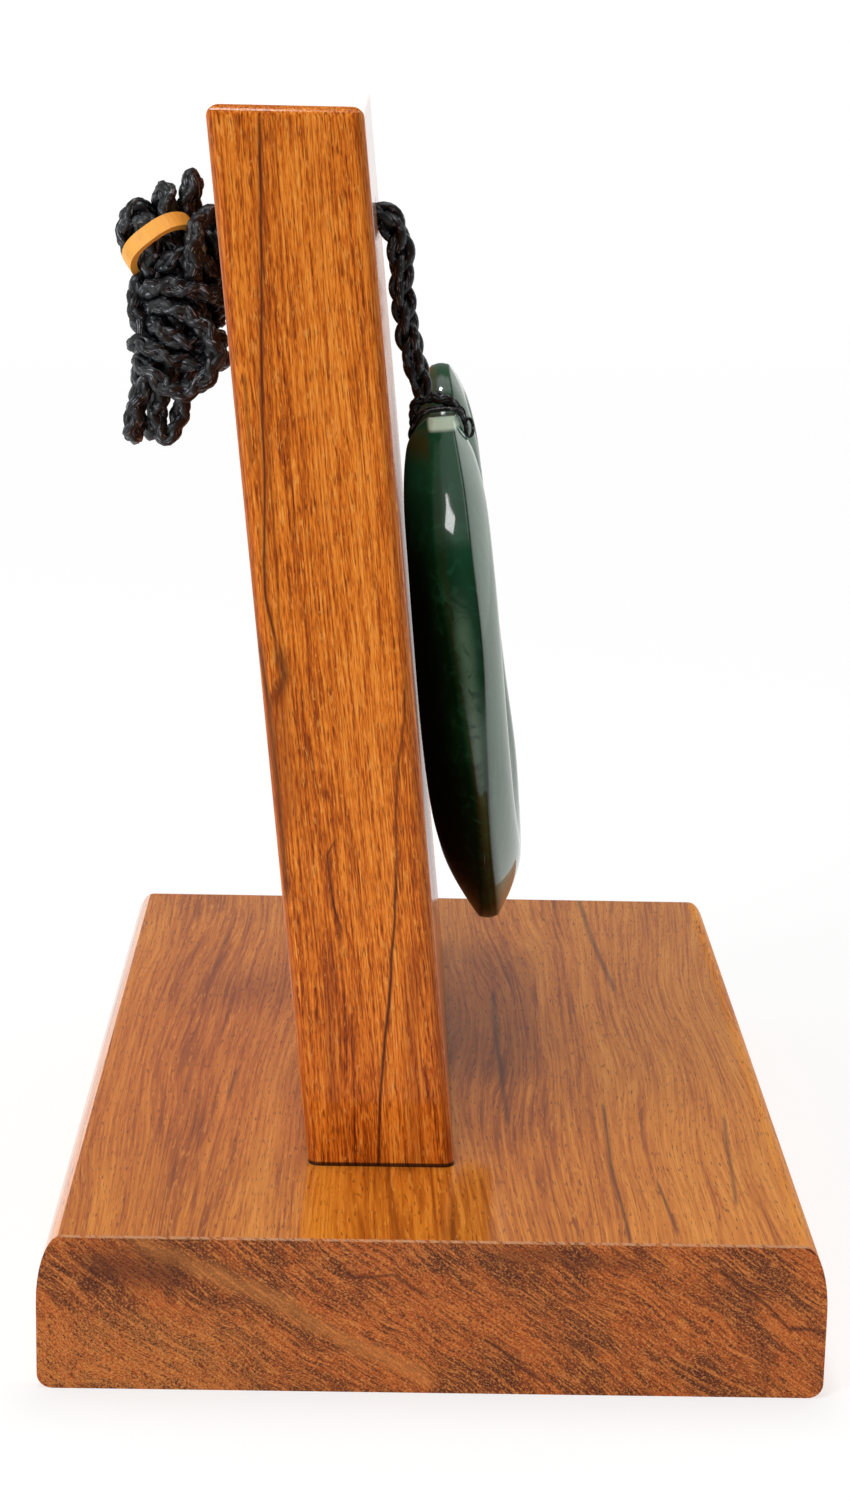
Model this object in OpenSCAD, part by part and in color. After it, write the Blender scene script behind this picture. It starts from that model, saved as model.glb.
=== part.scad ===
// Greenstone koru pendant on its plain wooden display stand.
// The stand rests on z = 0. Its board leans back towards -x, the pendant hangs against the
// board's front face and looks towards +x, and the spare neck cord is bundled behind the board.

/* [Base] */
// Size of the base along x
base_x = 77; // [60:1:110]
// Size of the base along y, the way its grain runs
base_y = 116; // [100:1:150]
// Height of the base
base_h = 16; // [10:1:24]
// How far each long side curves in at the top
base_inset = 2.6; // [0:0.1:5]
// Height of that curved part
base_curve_h = 7; // [3:0.5:10]
// Radius of the lower long edges
base_foot_r = 1.5; // [0.5:0.1:3]

/* [Board] */
// Thickness of the leaning board
board_t = 15; // [10:0.5:20]
// Width of the board along y
board_w = 78; // [60:1:90]
// Height of the board's level top above the base
board_h = 106.5; // [104:0.5:130]
// How far the board leans back, in degrees
lean = 5.9; // [0:0.1:10]
// Where the board's front face meets the base, along x
board_foot_x = 2.4; // [-5:0.1:10]
// Radius of the board's edges
edge_r = 1.2; // [0.5:0.1:2]
// Diameter of the hole that the neck cord goes through
cord_hole_d = 5; // [4:0.1:8]
// Distance of that hole from the base, up the board
cord_hole_up = 94; // [90:0.5:96]

/* [Pendant] */
// Gap between the stone and the board at its nearest
stone_gap = 0.15; // [0.1:0.05:1]
// How far the stone is turned on its cord, in degrees
stone_turn = 1; // [0:0.5:2]
// Diameter of the drilled hole near the top of the stem
drill_d = 2.2; // [1.8:0.1:2.4]

/* [Cord] */
// Diameter of the two neck cords laid together
pair_d = 3.1; // [2.4:0.1:3.6]
// Diameter of the lashing through the stone
lashing_d = 0.9; // [0.8:0.1:1.2]
// Thickness of the bundled cord along y
hank_y = 13; // [10:0.5:16]
// Width of the rubber band
band_w = 1.8; // [1.5:0.1:4]
// Thickness of the rubber band
band_t = 0.8; // [0.6:0.1:1.4]

/* [Hidden] */

round_steps = 32;

// Stations of the carved arm, from the top of the stem round to the eye of the spiral.
// Columns: outer edge (y, height up the board), inner edge (y, height), then distances from the
// board: back and front of the arm, back and front of its rim.
koru_rows = [
    [-2.6, 72.2, 3.0, 72.4, 3.3, 6.3, 3.8, 6.0],
    [-4.8, 71.0, 2.8, 69.8, 1.2, 7.1, 3.7, 6.1],
    [-7.2, 69.2, 1.6, 66.8, 0.4, 8.1, 3.5, 6.3],
    [-11.8, 65.4, -2.2, 62.2, 0, 8.9, 3.1, 6.7],
    [-17.4, 59.0, -6.6, 56.0, 0, 9.2, 3.0, 7.0],
    [-21.2, 50.0, -9.2, 48.6, 0, 9.3, 3.8, 7.3],
    [-21.8, 40.0, -9.4, 40.8, 0, 9.3, 4.6, 6.9],
    [-18.8, 29.0, -7.0, 34.2, 0.3, 9.4, 5.1, 6.5],
    [-11.4, 19.4, -2.8, 30.8, 1.0, 9.7, 4.8, 6.5],
    [0, 15.3, 1.2, 29.8, 1.6, 9.8, 4.4, 6.6],
    [11, 18.4, 5.4, 31.0, 1.2, 10.0, 4.5, 6.8],
    [19.0, 27.4, 9.2, 34.4, 0.6, 10.1, 4.3, 6.8],
    [22.8, 38.6, 11.8, 41.0, 0.4, 9.6, 3.9, 6.8],
    [23.6, 49.6, 13.2, 49.2, 0.3, 9.2, 3.7, 6.7],
    [23.0, 60.2, 14.6, 58.4, 0.4, 8.8, 3.5, 6.5],
    [21.0, 68.8, 15.3, 65.2, 0.8, 8.5, 3.5, 6.3],
    [17.6, 74.4, 14.8, 69.0, 1.5, 7.8, 3.7, 6.0],
    [12.6, 76.5, 12.6, 70.2, 2.2, 7.3, 3.9, 5.9],
    [8.2, 74.9, 10.8, 69.0, 1.7, 7.7, 3.7, 6.0],
    [5.6, 71.2, 9.8, 66.4, 0.9, 8.3, 3.5, 6.3],
    [3.6, 66.8, 8.8, 62.8, 0.5, 8.7, 3.3, 6.5],
    [1.0, 61.2, 6.8, 58.8, 0.3, 8.8, 3.2, 6.5],
    [-2.0, 55.6, 5.4, 55.4, 0.3, 8.8, 3.2, 6.5],
    [-4.4, 50.0, 6.0, 52.6, 0.3, 8.9, 3.2, 6.5],
    [-4.8, 44.8, 8.4, 49.6, 0.3, 8.9, 3.2, 6.5]
];
// Steps between two rows, and steps round the rounded eye
row_steps = 3;
eye_steps = 6;
eye_step_angle = 14;
// Places across the arm, from its outer edge (1) to its inner edge (-1), and the power of its dome
across = [1, 0.88, 0.7, 0.45, 0.2, 0, -0.2, -0.45, -0.7, -0.88, -1];
dome_power = 1.5;
// The stem's drilled hole, up the board and along y
drill_up = 69.8;
drill_y = 0.4;

// Route of the two neck cords: distance from the board's front face, y, height up the board
neck_route = [
    [-15.4, 0, 94.1], [-12, 0, 94.1], [-8, 0, 94.3], [-4, 0, 94.5], [-1, 0, 94.6], [0.8, 0, 94.2],
    [1.9, 0, 92.7], [2.2, 0, 90.4], [2.1, 0, 87], [2.15, 0, 84], [2.35, 0.1, 81], [2.6, 0.2, 79],
    [3.0, 0.3, 77.2], [3.4, 0.4, 75.8], [3.6, 0.4, 73.62]
];
// Middle line of the lashing, a closed loop: distance from the board's front face, height
lashing_route = [
    [3.2, 69.8], [5, 69.8], [7.3, 69.8], [7.9, 70.2], [8.05, 70.9], [7.9, 71.6], [7.6, 72.3],
    [7.1, 72.8], [6.4, 73.1], [5.2, 73.15], [4, 73.1], [3.1, 72.9], [2.45, 72.35], [2, 71.75],
    [1.6, 71.1], [1.4, 70.45], [1.65, 69.9], [2.4, 69.75]
];
// Outline of the bundled cord seen from the side: distance from the front face, height
hank_outline = [
    [-20.2, 100.8], [-18.6, 100.9], [-17.8, 99], [-17.6, 96.4], [-15.4, 95.6], [-15.4, 83],
    [-16.4, 80.6], [-18, 78.6], [-20.2, 77], [-22.1, 76], [-22.4, 74], [-24.2, 71.8],
    [-28.4, 71.8], [-29.8, 73.6], [-28.8, 76.6], [-27.8, 80], [-27.4, 84], [-27.3, 88],
    [-27.8, 91], [-28.5, 94], [-27.8, 96.8], [-25.6, 98.8], [-23.2, 100], [-21.4, 99.6]
];
hank_core_y = 8;
hank_shrink = 1.2;
// The rubber band: middle of its ring, half lengths across and along y, slope and rise of its front,
// how square its ring is, and the play round it in the bundle
band_mid = [-22.9, 92.6];
band_half = [4, 6.3];
band_slope = 31;
band_tip = 25;
band_square = 0.75;
band_steps = 40;
band_play = 0.08;

// Places its children on the leaning board: x away from its front face, z up the board
module on_board() {
    translate([board_foot_x, 0, base_h])
        rotate([0, -lean, 0])
            children();
}

// A smooth value between b and c, with a and d as their neighbours
function blend(a, b, c, d, t) =
    0.5 * (2 * b + (c - a) * t + (2 * a - 5 * b + 4 * c - d) * pow(t, 2)
        + (3 * b - 3 * c + d - a) * pow(t, 3));

function koru_row(i) = koru_rows[max(0, min(len(koru_rows) - 1, i))];

function koru_at(u) =
    let (i = min(floor(u), len(koru_rows) - 2))
    blend(koru_row(i - 1), koru_row(i), koru_row(i + 1), koru_row(i + 2), u - i);

// Distance from the board at a place across the arm
function dome(rim, crest, u) = rim + (crest - rim) * (1 - pow(abs(u), dome_power));

// One closed ring round the arm between its outer and inner edges: back half, then front half
function koru_ring(outer, inner, r) =
    let (mid = (outer + inner) / 2, half = (outer - inner) / 2)
    concat(
        [for (u = across) let (p = mid + half * u) [dome(r[6], r[4], u), p[0], p[1]]],
        [for (i = [len(across) - 1 : -1 : 0])
            let (u = across[i], p = mid + half * u)
            [dome(r[7], r[5], u), p[0], p[1]]]
    );

function koru_body() =
    [for (k = [0 : row_steps * (len(koru_rows) - 1)])
        let (r = koru_at(k / row_steps))
        koru_ring([r[0], r[1]], [r[2], r[3]], r)];

// The rounded end of the eye, a half turn on from the last row
function koru_eye() =
    let (r = koru_row(len(koru_rows) - 1), mid = [r[0] + r[2], r[1] + r[3]] / 2,
        half = [r[0] - r[2], r[1] - r[3]] / 2, on = [-half[1], half[0]], rim_mid = (r[6] + r[7]) / 2)
    [for (k = [1 : eye_steps])
        let (c = cos(k * eye_step_angle), p = mid + on * sin(k * eye_step_angle),
            thin = [for (i = [0 : 7]) rim_mid + (r[i] - rim_mid) * c])
        koru_ring(p + half * c, p - half * c, thin)];

// Joins rings of equal length into one solid, closed at its ends or round on itself
module skin(rings, loop = false) {
    n = len(rings[0]);
    last = len(rings) - 1;
    sides = [for (i = [0 : loop ? last : last - 1], j = [0 : n - 1])
        let (a = i * n + j, b = i * n + (j + 1) % n, ni = (i + 1) % len(rings),
            c = ni * n + (j + 1) % n, d = ni * n + j)
        each [[a, b, c], [a, c, d]]];
    ends = loop ? [] : [[for (j = [n - 1 : -1 : 0]) j], [for (j = [0 : n - 1]) last * n + j]];
    polyhedron(points = [for (r = rings) each r], faces = concat(sides, ends), convexity = 8);
}

// A ring of eight points square to the route
function cord_ring(p, along, d) =
    let (side = cross(along, [0.3, 1, 0.1]), s = side / norm(side), t = cross(s, along) / norm(along))
    [for (k = [0 : 7]) p + d / 2 * (s * cos(k * 45 + 22.5) + t * sin(k * 45 + 22.5))];

function route_along(route, i, loop) =
    let (n = len(route), a = loop ? (i + n - 1) % n : max(i - 1, 0), b = loop ? (i + 1) % n : min(i + 1, n - 1))
    route[b] - route[a];

function cord_rings(route, d, loop = false) =
    [for (i = [0 : len(route) - 1]) cord_ring(route[i], route_along(route, i, loop), d)];

// The base's section: level underside, upright lower sides, upper sides curved in
function base_side() =
    concat(
        [for (a = [-90 : 15 : 0])
            [base_x / 2 - base_foot_r + base_foot_r * cos(a), base_foot_r + base_foot_r * sin(a)]],
        [for (a = [0 : 10 : 90])
            [base_x / 2 - base_inset + base_inset * cos(a), base_h - base_curve_h + base_curve_h * sin(a)]]
    );

module stand_base() {
    half = base_side();
    outline = concat(half, [for (i = [len(half) - 1 : -1 : 0]) [-half[i][0], half[i][1]]]);
    color("peru")
        rotate([90, 0, 0])
            linear_extrude(base_y, center = true)
                polygon(outline);
}

// An outline with a level foot and a level rounded top, leaning by a slope
module rounded_outline(left, right, high, slope) {
    top = high - edge_r;
    ease = edge_r * sqrt(1 + pow(slope, 2));
    hull() {
        for (x = [left + ease, right - ease])
            translate([x - slope * top, top])
                circle(r = edge_r, $fn = round_steps);
        polygon([[left, 0], [right, 0], [right - slope * edge_r, edge_r], [left - slope * edge_r, edge_r]]);
    }
}

// The board stands level on the base, so its foot and its top are cut at the lean
module stand_board() {
    level_t = board_t / cos(lean);
    color("sienna")
        difference() {
            intersection() {
                translate([board_foot_x, 0, base_h])
                    rotate([90, 0, 0])
                        linear_extrude(board_w, center = true)
                            rounded_outline(-level_t, 0, board_h, tan(lean));
                translate([-base_x, 0, base_h])
                    rotate([90, 0, 90])
                        linear_extrude(base_x * 2)
                            rounded_outline(-board_w / 2, board_w / 2, board_h, 0);
                on_board()
                    translate([0, 0, -board_t])
                        linear_extrude(board_h + 2 * board_t)
                            hull()
                                for (x = [-board_t + edge_r, -edge_r], y = [-1, 1] * (board_w / 2 - edge_r))
                                    translate([x, y])
                                        circle(r = edge_r, $fn = round_steps);
            }
            on_board()
                translate([-board_t * 1.5, 0, cord_hole_up])
                    rotate([0, 90, 0])
                        cylinder(d = cord_hole_d, h = board_t * 2, $fn = 64);
        }
}

// The stone is turned a little about its near arm, which lies against the board
module turned() {
    near_y = (koru_rows[5][0] + koru_rows[5][2]) / 2;
    translate([0, near_y, 0])
        rotate([0, 0, -stone_turn])
            translate([stone_gap, -near_y, 0])
                children();
}

module koru_pendant() {
    color("darkolivegreen")
        on_board()
            turned()
                difference() {
                    skin(concat(koru_body(), koru_eye()));
                    translate([-1, drill_y, drill_up])
                        rotate([0, 90, 0])
                            cylinder(d = drill_d, h = 14, $fn = 32);
                }
}

module cord_lashing() {
    color("black")
        on_board()
            turned()
                skin(cord_rings([for (p = lashing_route) [p[0], drill_y, p[1]]], lashing_d, true), true);
}

module neck_cord() {
    color("black")
        on_board()
            skin(cord_rings(neck_route, pair_d));
}

// One section of the rubber band, a flat strip square to the hank
function band_section(a, grow) =
    let (across_dir = [cos(band_slope), 0, sin(band_slope)],
        along_dir = [-sin(band_slope) * sin(band_tip), -cos(band_tip), cos(band_slope) * sin(band_tip)],
        mid = [band_mid[0], 0, band_mid[1]],
        c = sign(cos(a)) * pow(abs(cos(a)), band_square),
        d = sign(sin(a)) * pow(abs(sin(a)), band_square),
        out = (across_dir * c + along_dir * d) * (band_t / 2 + grow),
        p = mid + across_dir * band_half[0] * c + along_dir * band_half[1] * d,
        high = cross(across_dir, along_dir) * (band_w / 2 + grow))
    [p + out + high, p - out + high, p - out - high, p + out - high];

module band_solid(grow) {
    skin([for (i = [0 : band_steps - 1]) band_section(i * 360 / band_steps, grow)], true);
}

module cord_hank() {
    color("dimgray")
        on_board()
            difference() {
                rotate([90, 0, 0]) {
                    linear_extrude(hank_core_y, center = true)
                        polygon(hank_outline);
                    linear_extrude(hank_y, center = true)
                        offset(delta = -hank_shrink)
                            polygon(hank_outline);
                }
                band_solid(band_play);
            }
}

module hank_band() {
    color("goldenrod")
        on_board()
            band_solid(0);
}

stand_base();
stand_board();
koru_pendant();
cord_lashing();
neck_cord();
cord_hank();
hank_band();
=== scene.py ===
"""Looks of a greenstone koru pendant that hangs on a leaning wooden display board."""

import logging
import math
from dataclasses import dataclass, field
from enum import Enum
from typing import Any, Callable, Sequence, Union

import bmesh
import bpy
import numpy as np
from mathutils import Matrix, Vector


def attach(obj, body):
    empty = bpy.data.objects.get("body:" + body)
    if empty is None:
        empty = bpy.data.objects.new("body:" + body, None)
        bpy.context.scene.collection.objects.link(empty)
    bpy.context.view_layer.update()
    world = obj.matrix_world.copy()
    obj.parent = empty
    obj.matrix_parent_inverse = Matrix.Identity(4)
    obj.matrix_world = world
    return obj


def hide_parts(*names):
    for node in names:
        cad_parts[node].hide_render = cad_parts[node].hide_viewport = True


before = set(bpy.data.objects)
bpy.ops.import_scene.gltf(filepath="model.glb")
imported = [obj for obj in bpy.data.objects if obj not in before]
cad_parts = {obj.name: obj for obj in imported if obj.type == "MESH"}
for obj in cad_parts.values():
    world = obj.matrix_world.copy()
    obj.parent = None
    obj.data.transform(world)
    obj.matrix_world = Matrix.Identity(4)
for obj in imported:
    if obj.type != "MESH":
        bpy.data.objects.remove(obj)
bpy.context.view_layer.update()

MM = 0.001
log = logging.getLogger("koru_stand")

Triple = tuple[float, float, float]
Colour = Triple
Span = tuple[float, float]
Route = tuple[Triple, ...]
Number = Union["Wire", float]


# Places on the board


@dataclass(frozen=True)
class BoardFace:
    """The board's front plane. A place is in millimetres: distance in front of the plane, y, height up."""

    foot_x: float = 2.4
    base_top: float = 16.0
    lean: float = 5.9

    @property
    def tilt(self) -> Span:
        """Returns the cosine and the sine of the lean."""
        angle = math.radians(self.lean)
        return math.cos(angle), math.sin(angle)

    def to_world(self, places: Any) -> np.ndarray:
        """Turns places on the board into points in the shared frame, in metres.

        Args:
            places: an array whose last axis holds distance, y and height, in millimetres.

        Returns:
            The points, in an array of the same form.
        """
        p = np.asarray(places, float)
        c, s = self.tilt
        x = self.foot_x + p[..., 0] * c - p[..., 2] * s
        z = self.base_top + p[..., 0] * s + p[..., 2] * c
        return np.stack([x, p[..., 1], z], axis=-1) * MM

    def shader_place(self, tree: "Tree") -> "Wire":
        """Finds a shader's place on the board.

        Args:
            tree: the material's tree.

        Returns:
            The place, in millimetres.
        """
        c, s = self.tilt
        out = self.foot_x * c + self.base_top * s
        high = self.base_top * c - self.foot_x * s
        return tree.place(turn=(0.0, self.lean, 0.0), shift=(-out, 0.0, -high))


FACE = BoardFace()


# Lines and tubes


CURVE_STEPS = 14


def unit(v: np.ndarray) -> np.ndarray:
    """Returns the vectors of the last axis at length one."""
    return v / np.maximum(np.linalg.norm(v, axis=-1, keepdims=True), 1e-12)


def along(line: np.ndarray) -> np.ndarray:
    """Returns the length run at each point of a line."""
    return np.concatenate([[0.0], np.cumsum(np.linalg.norm(np.diff(line, axis=0), axis=1))])


def evenly(line: np.ndarray, step: float) -> np.ndarray:
    """Spaces a line's points evenly.

    Args:
        line: the points of the line.
        step: about how far apart the new ones are.

    Returns:
        The new points.
    """
    run = along(line)
    at = np.linspace(0, run[-1], max(3, round(run[-1] / step) + 1))
    return np.stack([np.interp(at, run, line[:, k]) for k in range(line.shape[1])], axis=1)


def relax(line: np.ndarray, share: float, rounds: int = 1) -> None:
    """Moves a line's points towards the middle of their neighbours, in place.

    Args:
        line: the points.
        share: how much of the way each goes.
        rounds: how many times all of them move.
    """
    for _ in range(rounds):
        line[1:-1] += share * ((line[:-2] + line[2:]) / 2 - line[1:-1])


def smooth_line(points: Any, step: float, closed: bool = False) -> np.ndarray:
    """Runs a smooth curve through points.

    Args:
        points: the points that the curve goes through.
        step: the distance between the points that come back.
        closed: whether the last point is joined to the first.

    Returns:
        Points along the curve. A closed one ends where it starts.
    """
    p = np.asarray(points, float)
    if closed:
        p = np.vstack([p[-1:], p, p[:2]])
    else:
        p = np.vstack([2 * p[0] - p[1], p, 2 * p[-1] - p[-2]])
    knot = np.concatenate([[0.0], np.cumsum(np.sqrt(np.linalg.norm(np.diff(p, axis=0), axis=1)))])
    pieces = []
    for i in range(1, len(p) - 2):
        t = np.linspace(knot[i], knot[i + 1], CURVE_STEPS, endpoint=False)[:, None]
        k0, k1, k2, k3 = knot[i - 1 : i + 3]
        a = (p[i - 1] * (k1 - t) + p[i] * (t - k0)) / (k1 - k0)
        b = (p[i] * (k2 - t) + p[i + 1] * (t - k1)) / (k2 - k1)
        c = (p[i + 1] * (k3 - t) + p[i + 2] * (t - k2)) / (k3 - k2)
        d = (a * (k2 - t) + b * (t - k0)) / (k2 - k0)
        e = (b * (k3 - t) + c * (t - k1)) / (k3 - k1)
        pieces.append((d * (k2 - t) + e * (t - k1)) / (k2 - k1))
    pieces.append(p[-2:-1])
    return evenly(np.vstack(pieces), step)


def square_to(line: np.ndarray) -> tuple[np.ndarray, np.ndarray]:
    """Finds two directions square to a line, carried along it without twist.

    Args:
        line: the points of the line.

    Returns:
        The two directions at each point.
    """
    way = unit(np.gradient(line, axis=0))
    side = np.zeros_like(line)
    side[0] = unit(np.cross(way[0], [0.12, 1.0, 0.07]))
    for i in range(1, len(line)):
        side[i] = unit(side[i - 1] - way[i] * (side[i - 1] @ way[i]))
    return side, np.cross(way, side)


def circling(line: np.ndarray, angle: np.ndarray, reach: np.ndarray) -> np.ndarray:
    """Returns a line that circles another, with its angle and distance at each point."""
    side, up = square_to(line)
    return line + (side * np.cos(angle)[:, None] + up * np.sin(angle)[:, None]) * reach[:, None]


@dataclass
class MeshMaker:
    """Gathers tubes and other surfaces into one mesh with a UV map."""

    verts: list[np.ndarray] = field(default_factory=list)
    faces: list[tuple[int, ...]] = field(default_factory=list)
    uvs: list[Span] = field(default_factory=list)
    count: int = 0

    def skin(self, rings: np.ndarray, us: Any, vs: Any, closed: bool = False) -> None:
        """Joins rings of points, each closed on itself, into one surface.

        Args:
            rings: an array of rings by points by three coordinates, in metres.
            us: the UV map's u at each point of a ring, and once more for the way back to the first.
            vs: its v at each ring, and once more where the rings are closed.
            closed: whether the last ring is joined to the first, and otherwise both ends are capped.
        """
        n, m = rings.shape[:2]
        self.verts.append(rings.reshape(-1, 3))
        for i in range(n if closed else n - 1):
            a, b = self.count + i * m, self.count + (i + 1) % n * m
            low, high = vs[i], vs[i + 1]
            for j in range(m):
                k = (j + 1) % m
                self.faces.append((a + j, a + k, b + k, b + j))
                self.uvs += [(us[j], low), (us[j + 1], low), (us[j + 1], high), (us[j], high)]
        if not closed:
            for start in (0, (n - 1) * m):
                self.faces.append(tuple(self.count + start + j for j in range(m)))
                self.uvs += [(us[0], vs[0])] * m
        self.count += n * m

    def tube(
        self, line: np.ndarray, radius: Any, sides: int, closed: bool = False, shift: float = 0.0
    ) -> None:
        """Adds a tube round a line, with its UV map in millimetres.

        Args:
            line: the middle of the tube, in metres.
            radius: its radius in metres, one for all or one for each point.
            sides: how many faces go round it.
            closed: whether the line ends where it starts, so that the tube is a ring.
            shift: how far the UV map is moved along, in millimetres, so that strands differ.
        """
        side, up = square_to(line)
        run = along(line) / MM
        if closed:
            line, side, up = line[:-1], side[:-1], up[:-1]
        r = np.broadcast_to(np.asarray(radius, float), (len(line),))
        turn = np.linspace(0, 2 * math.pi, sides, endpoint=False)
        ring = side[:, None] * np.cos(turn)[None, :, None] + up[:, None] * np.sin(turn)[None, :, None]
        wide = 2 * math.pi * float(np.mean(r)) / MM / sides
        points = line[:, None] + ring * r[:, None, None]
        self.skin(points, wide * np.arange(sides + 1), run + shift, closed)

    def build(self, name: str, finish: bpy.types.Material) -> bpy.types.Object:
        """Makes the mesh object, smooth and with its faces outwards.

        Args:
            name: the piece's name.
            finish: its material.

        Returns:
            The new object, at the origin.
        """
        mesh = bpy.data.meshes.new(name)
        mesh.from_pydata(np.vstack(self.verts).tolist(), [], self.faces)
        mesh.uv_layers.new(name="UVMap").data.foreach_set("uv", np.array(self.uvs, np.float32).ravel())
        shell = bmesh.new()
        shell.from_mesh(mesh)
        bmesh.ops.recalc_face_normals(shell, faces=shell.faces)
        shell.to_mesh(mesh)
        shell.free()
        mesh.shade_smooth()
        mesh.materials.append(finish)
        made = bpy.data.objects.new(name, mesh)
        bpy.context.scene.collection.objects.link(made)
        return made


def alone(obj: bpy.types.Object) -> None:
    """Makes an object the only one selected, and the active one.

    Args:
        obj: the object.
    """
    bpy.ops.object.select_all(action="DESELECT")
    obj.select_set(True)
    bpy.context.view_layer.objects.active = obj


def apply_modifier(obj: bpy.types.Object, kind: str, **settings: Any) -> None:
    """Adds a modifier to an object and applies it.

    Args:
        obj: the object.
        kind: the modifier's type.
        settings: the modifier's own settings.
    """
    alone(obj)
    made = obj.modifiers.new(kind.lower(), kind)
    for key, value in settings.items():
        setattr(made, key, value)
    bpy.ops.object.modifier_apply(modifier=made.name)


# Shader maths


def maths(operation: str, swapped: bool = False) -> Callable[..., "Wire"]:
    """Makes a method of Wire that adds one Math node.

    Args:
        operation: the node's operation.
        swapped: whether the wire is the second value, and not the first.

    Returns:
        The method, which takes the other value where the operation has one.
    """

    def method(self: "Wire", other: Number = 0.0) -> "Wire":
        """Adds the node and returns its value."""
        first, second = (other, self) if swapped else (self, other)
        return self.tree.node("ShaderNodeMath", {"operation": operation}, {0: first, 1: second})

    return method


class Wire:
    """One output of a node. Sums written on it add Math nodes to its tree."""

    __add__ = maths("ADD")
    __radd__ = maths("ADD", swapped=True)
    __sub__ = maths("SUBTRACT")
    __rsub__ = maths("SUBTRACT", swapped=True)
    __mul__ = maths("MULTIPLY")
    __rmul__ = maths("MULTIPLY", swapped=True)
    __truediv__ = maths("DIVIDE")
    __rtruediv__ = maths("DIVIDE", swapped=True)
    __pow__ = maths("POWER")
    __rpow__ = maths("POWER", swapped=True)
    __abs__ = maths("ABSOLUTE")
    at_least = maths("MAXIMUM")

    def __init__(self, tree: "Tree", socket: bpy.types.NodeSocket) -> None:
        """Keeps the tree and the socket."""
        self.tree = tree
        self.socket = socket

    def ease(self, low: float, high: float) -> "Wire":
        """Returns 0 up to one value and 1 past the other, with a smooth step between them."""
        values = {0: self, 1: low, 2: high, 3: 0.0, 4: 1.0}
        return self.tree.node("ShaderNodeMapRange", {"interpolation_type": "SMOOTHSTEP"}, values)

    def fade(self, low: float, high: float) -> "Wire":
        """Returns 1 up to one value and 0 past the other, with a smooth step between them."""
        return 1.0 - self.ease(low, high)

    def hump(self, middle: Number, half: float) -> "Wire":
        """Returns 1 at a middle value, falling to 0 at a half width from it."""
        return abs(self - middle).fade(0.0, half)


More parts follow.
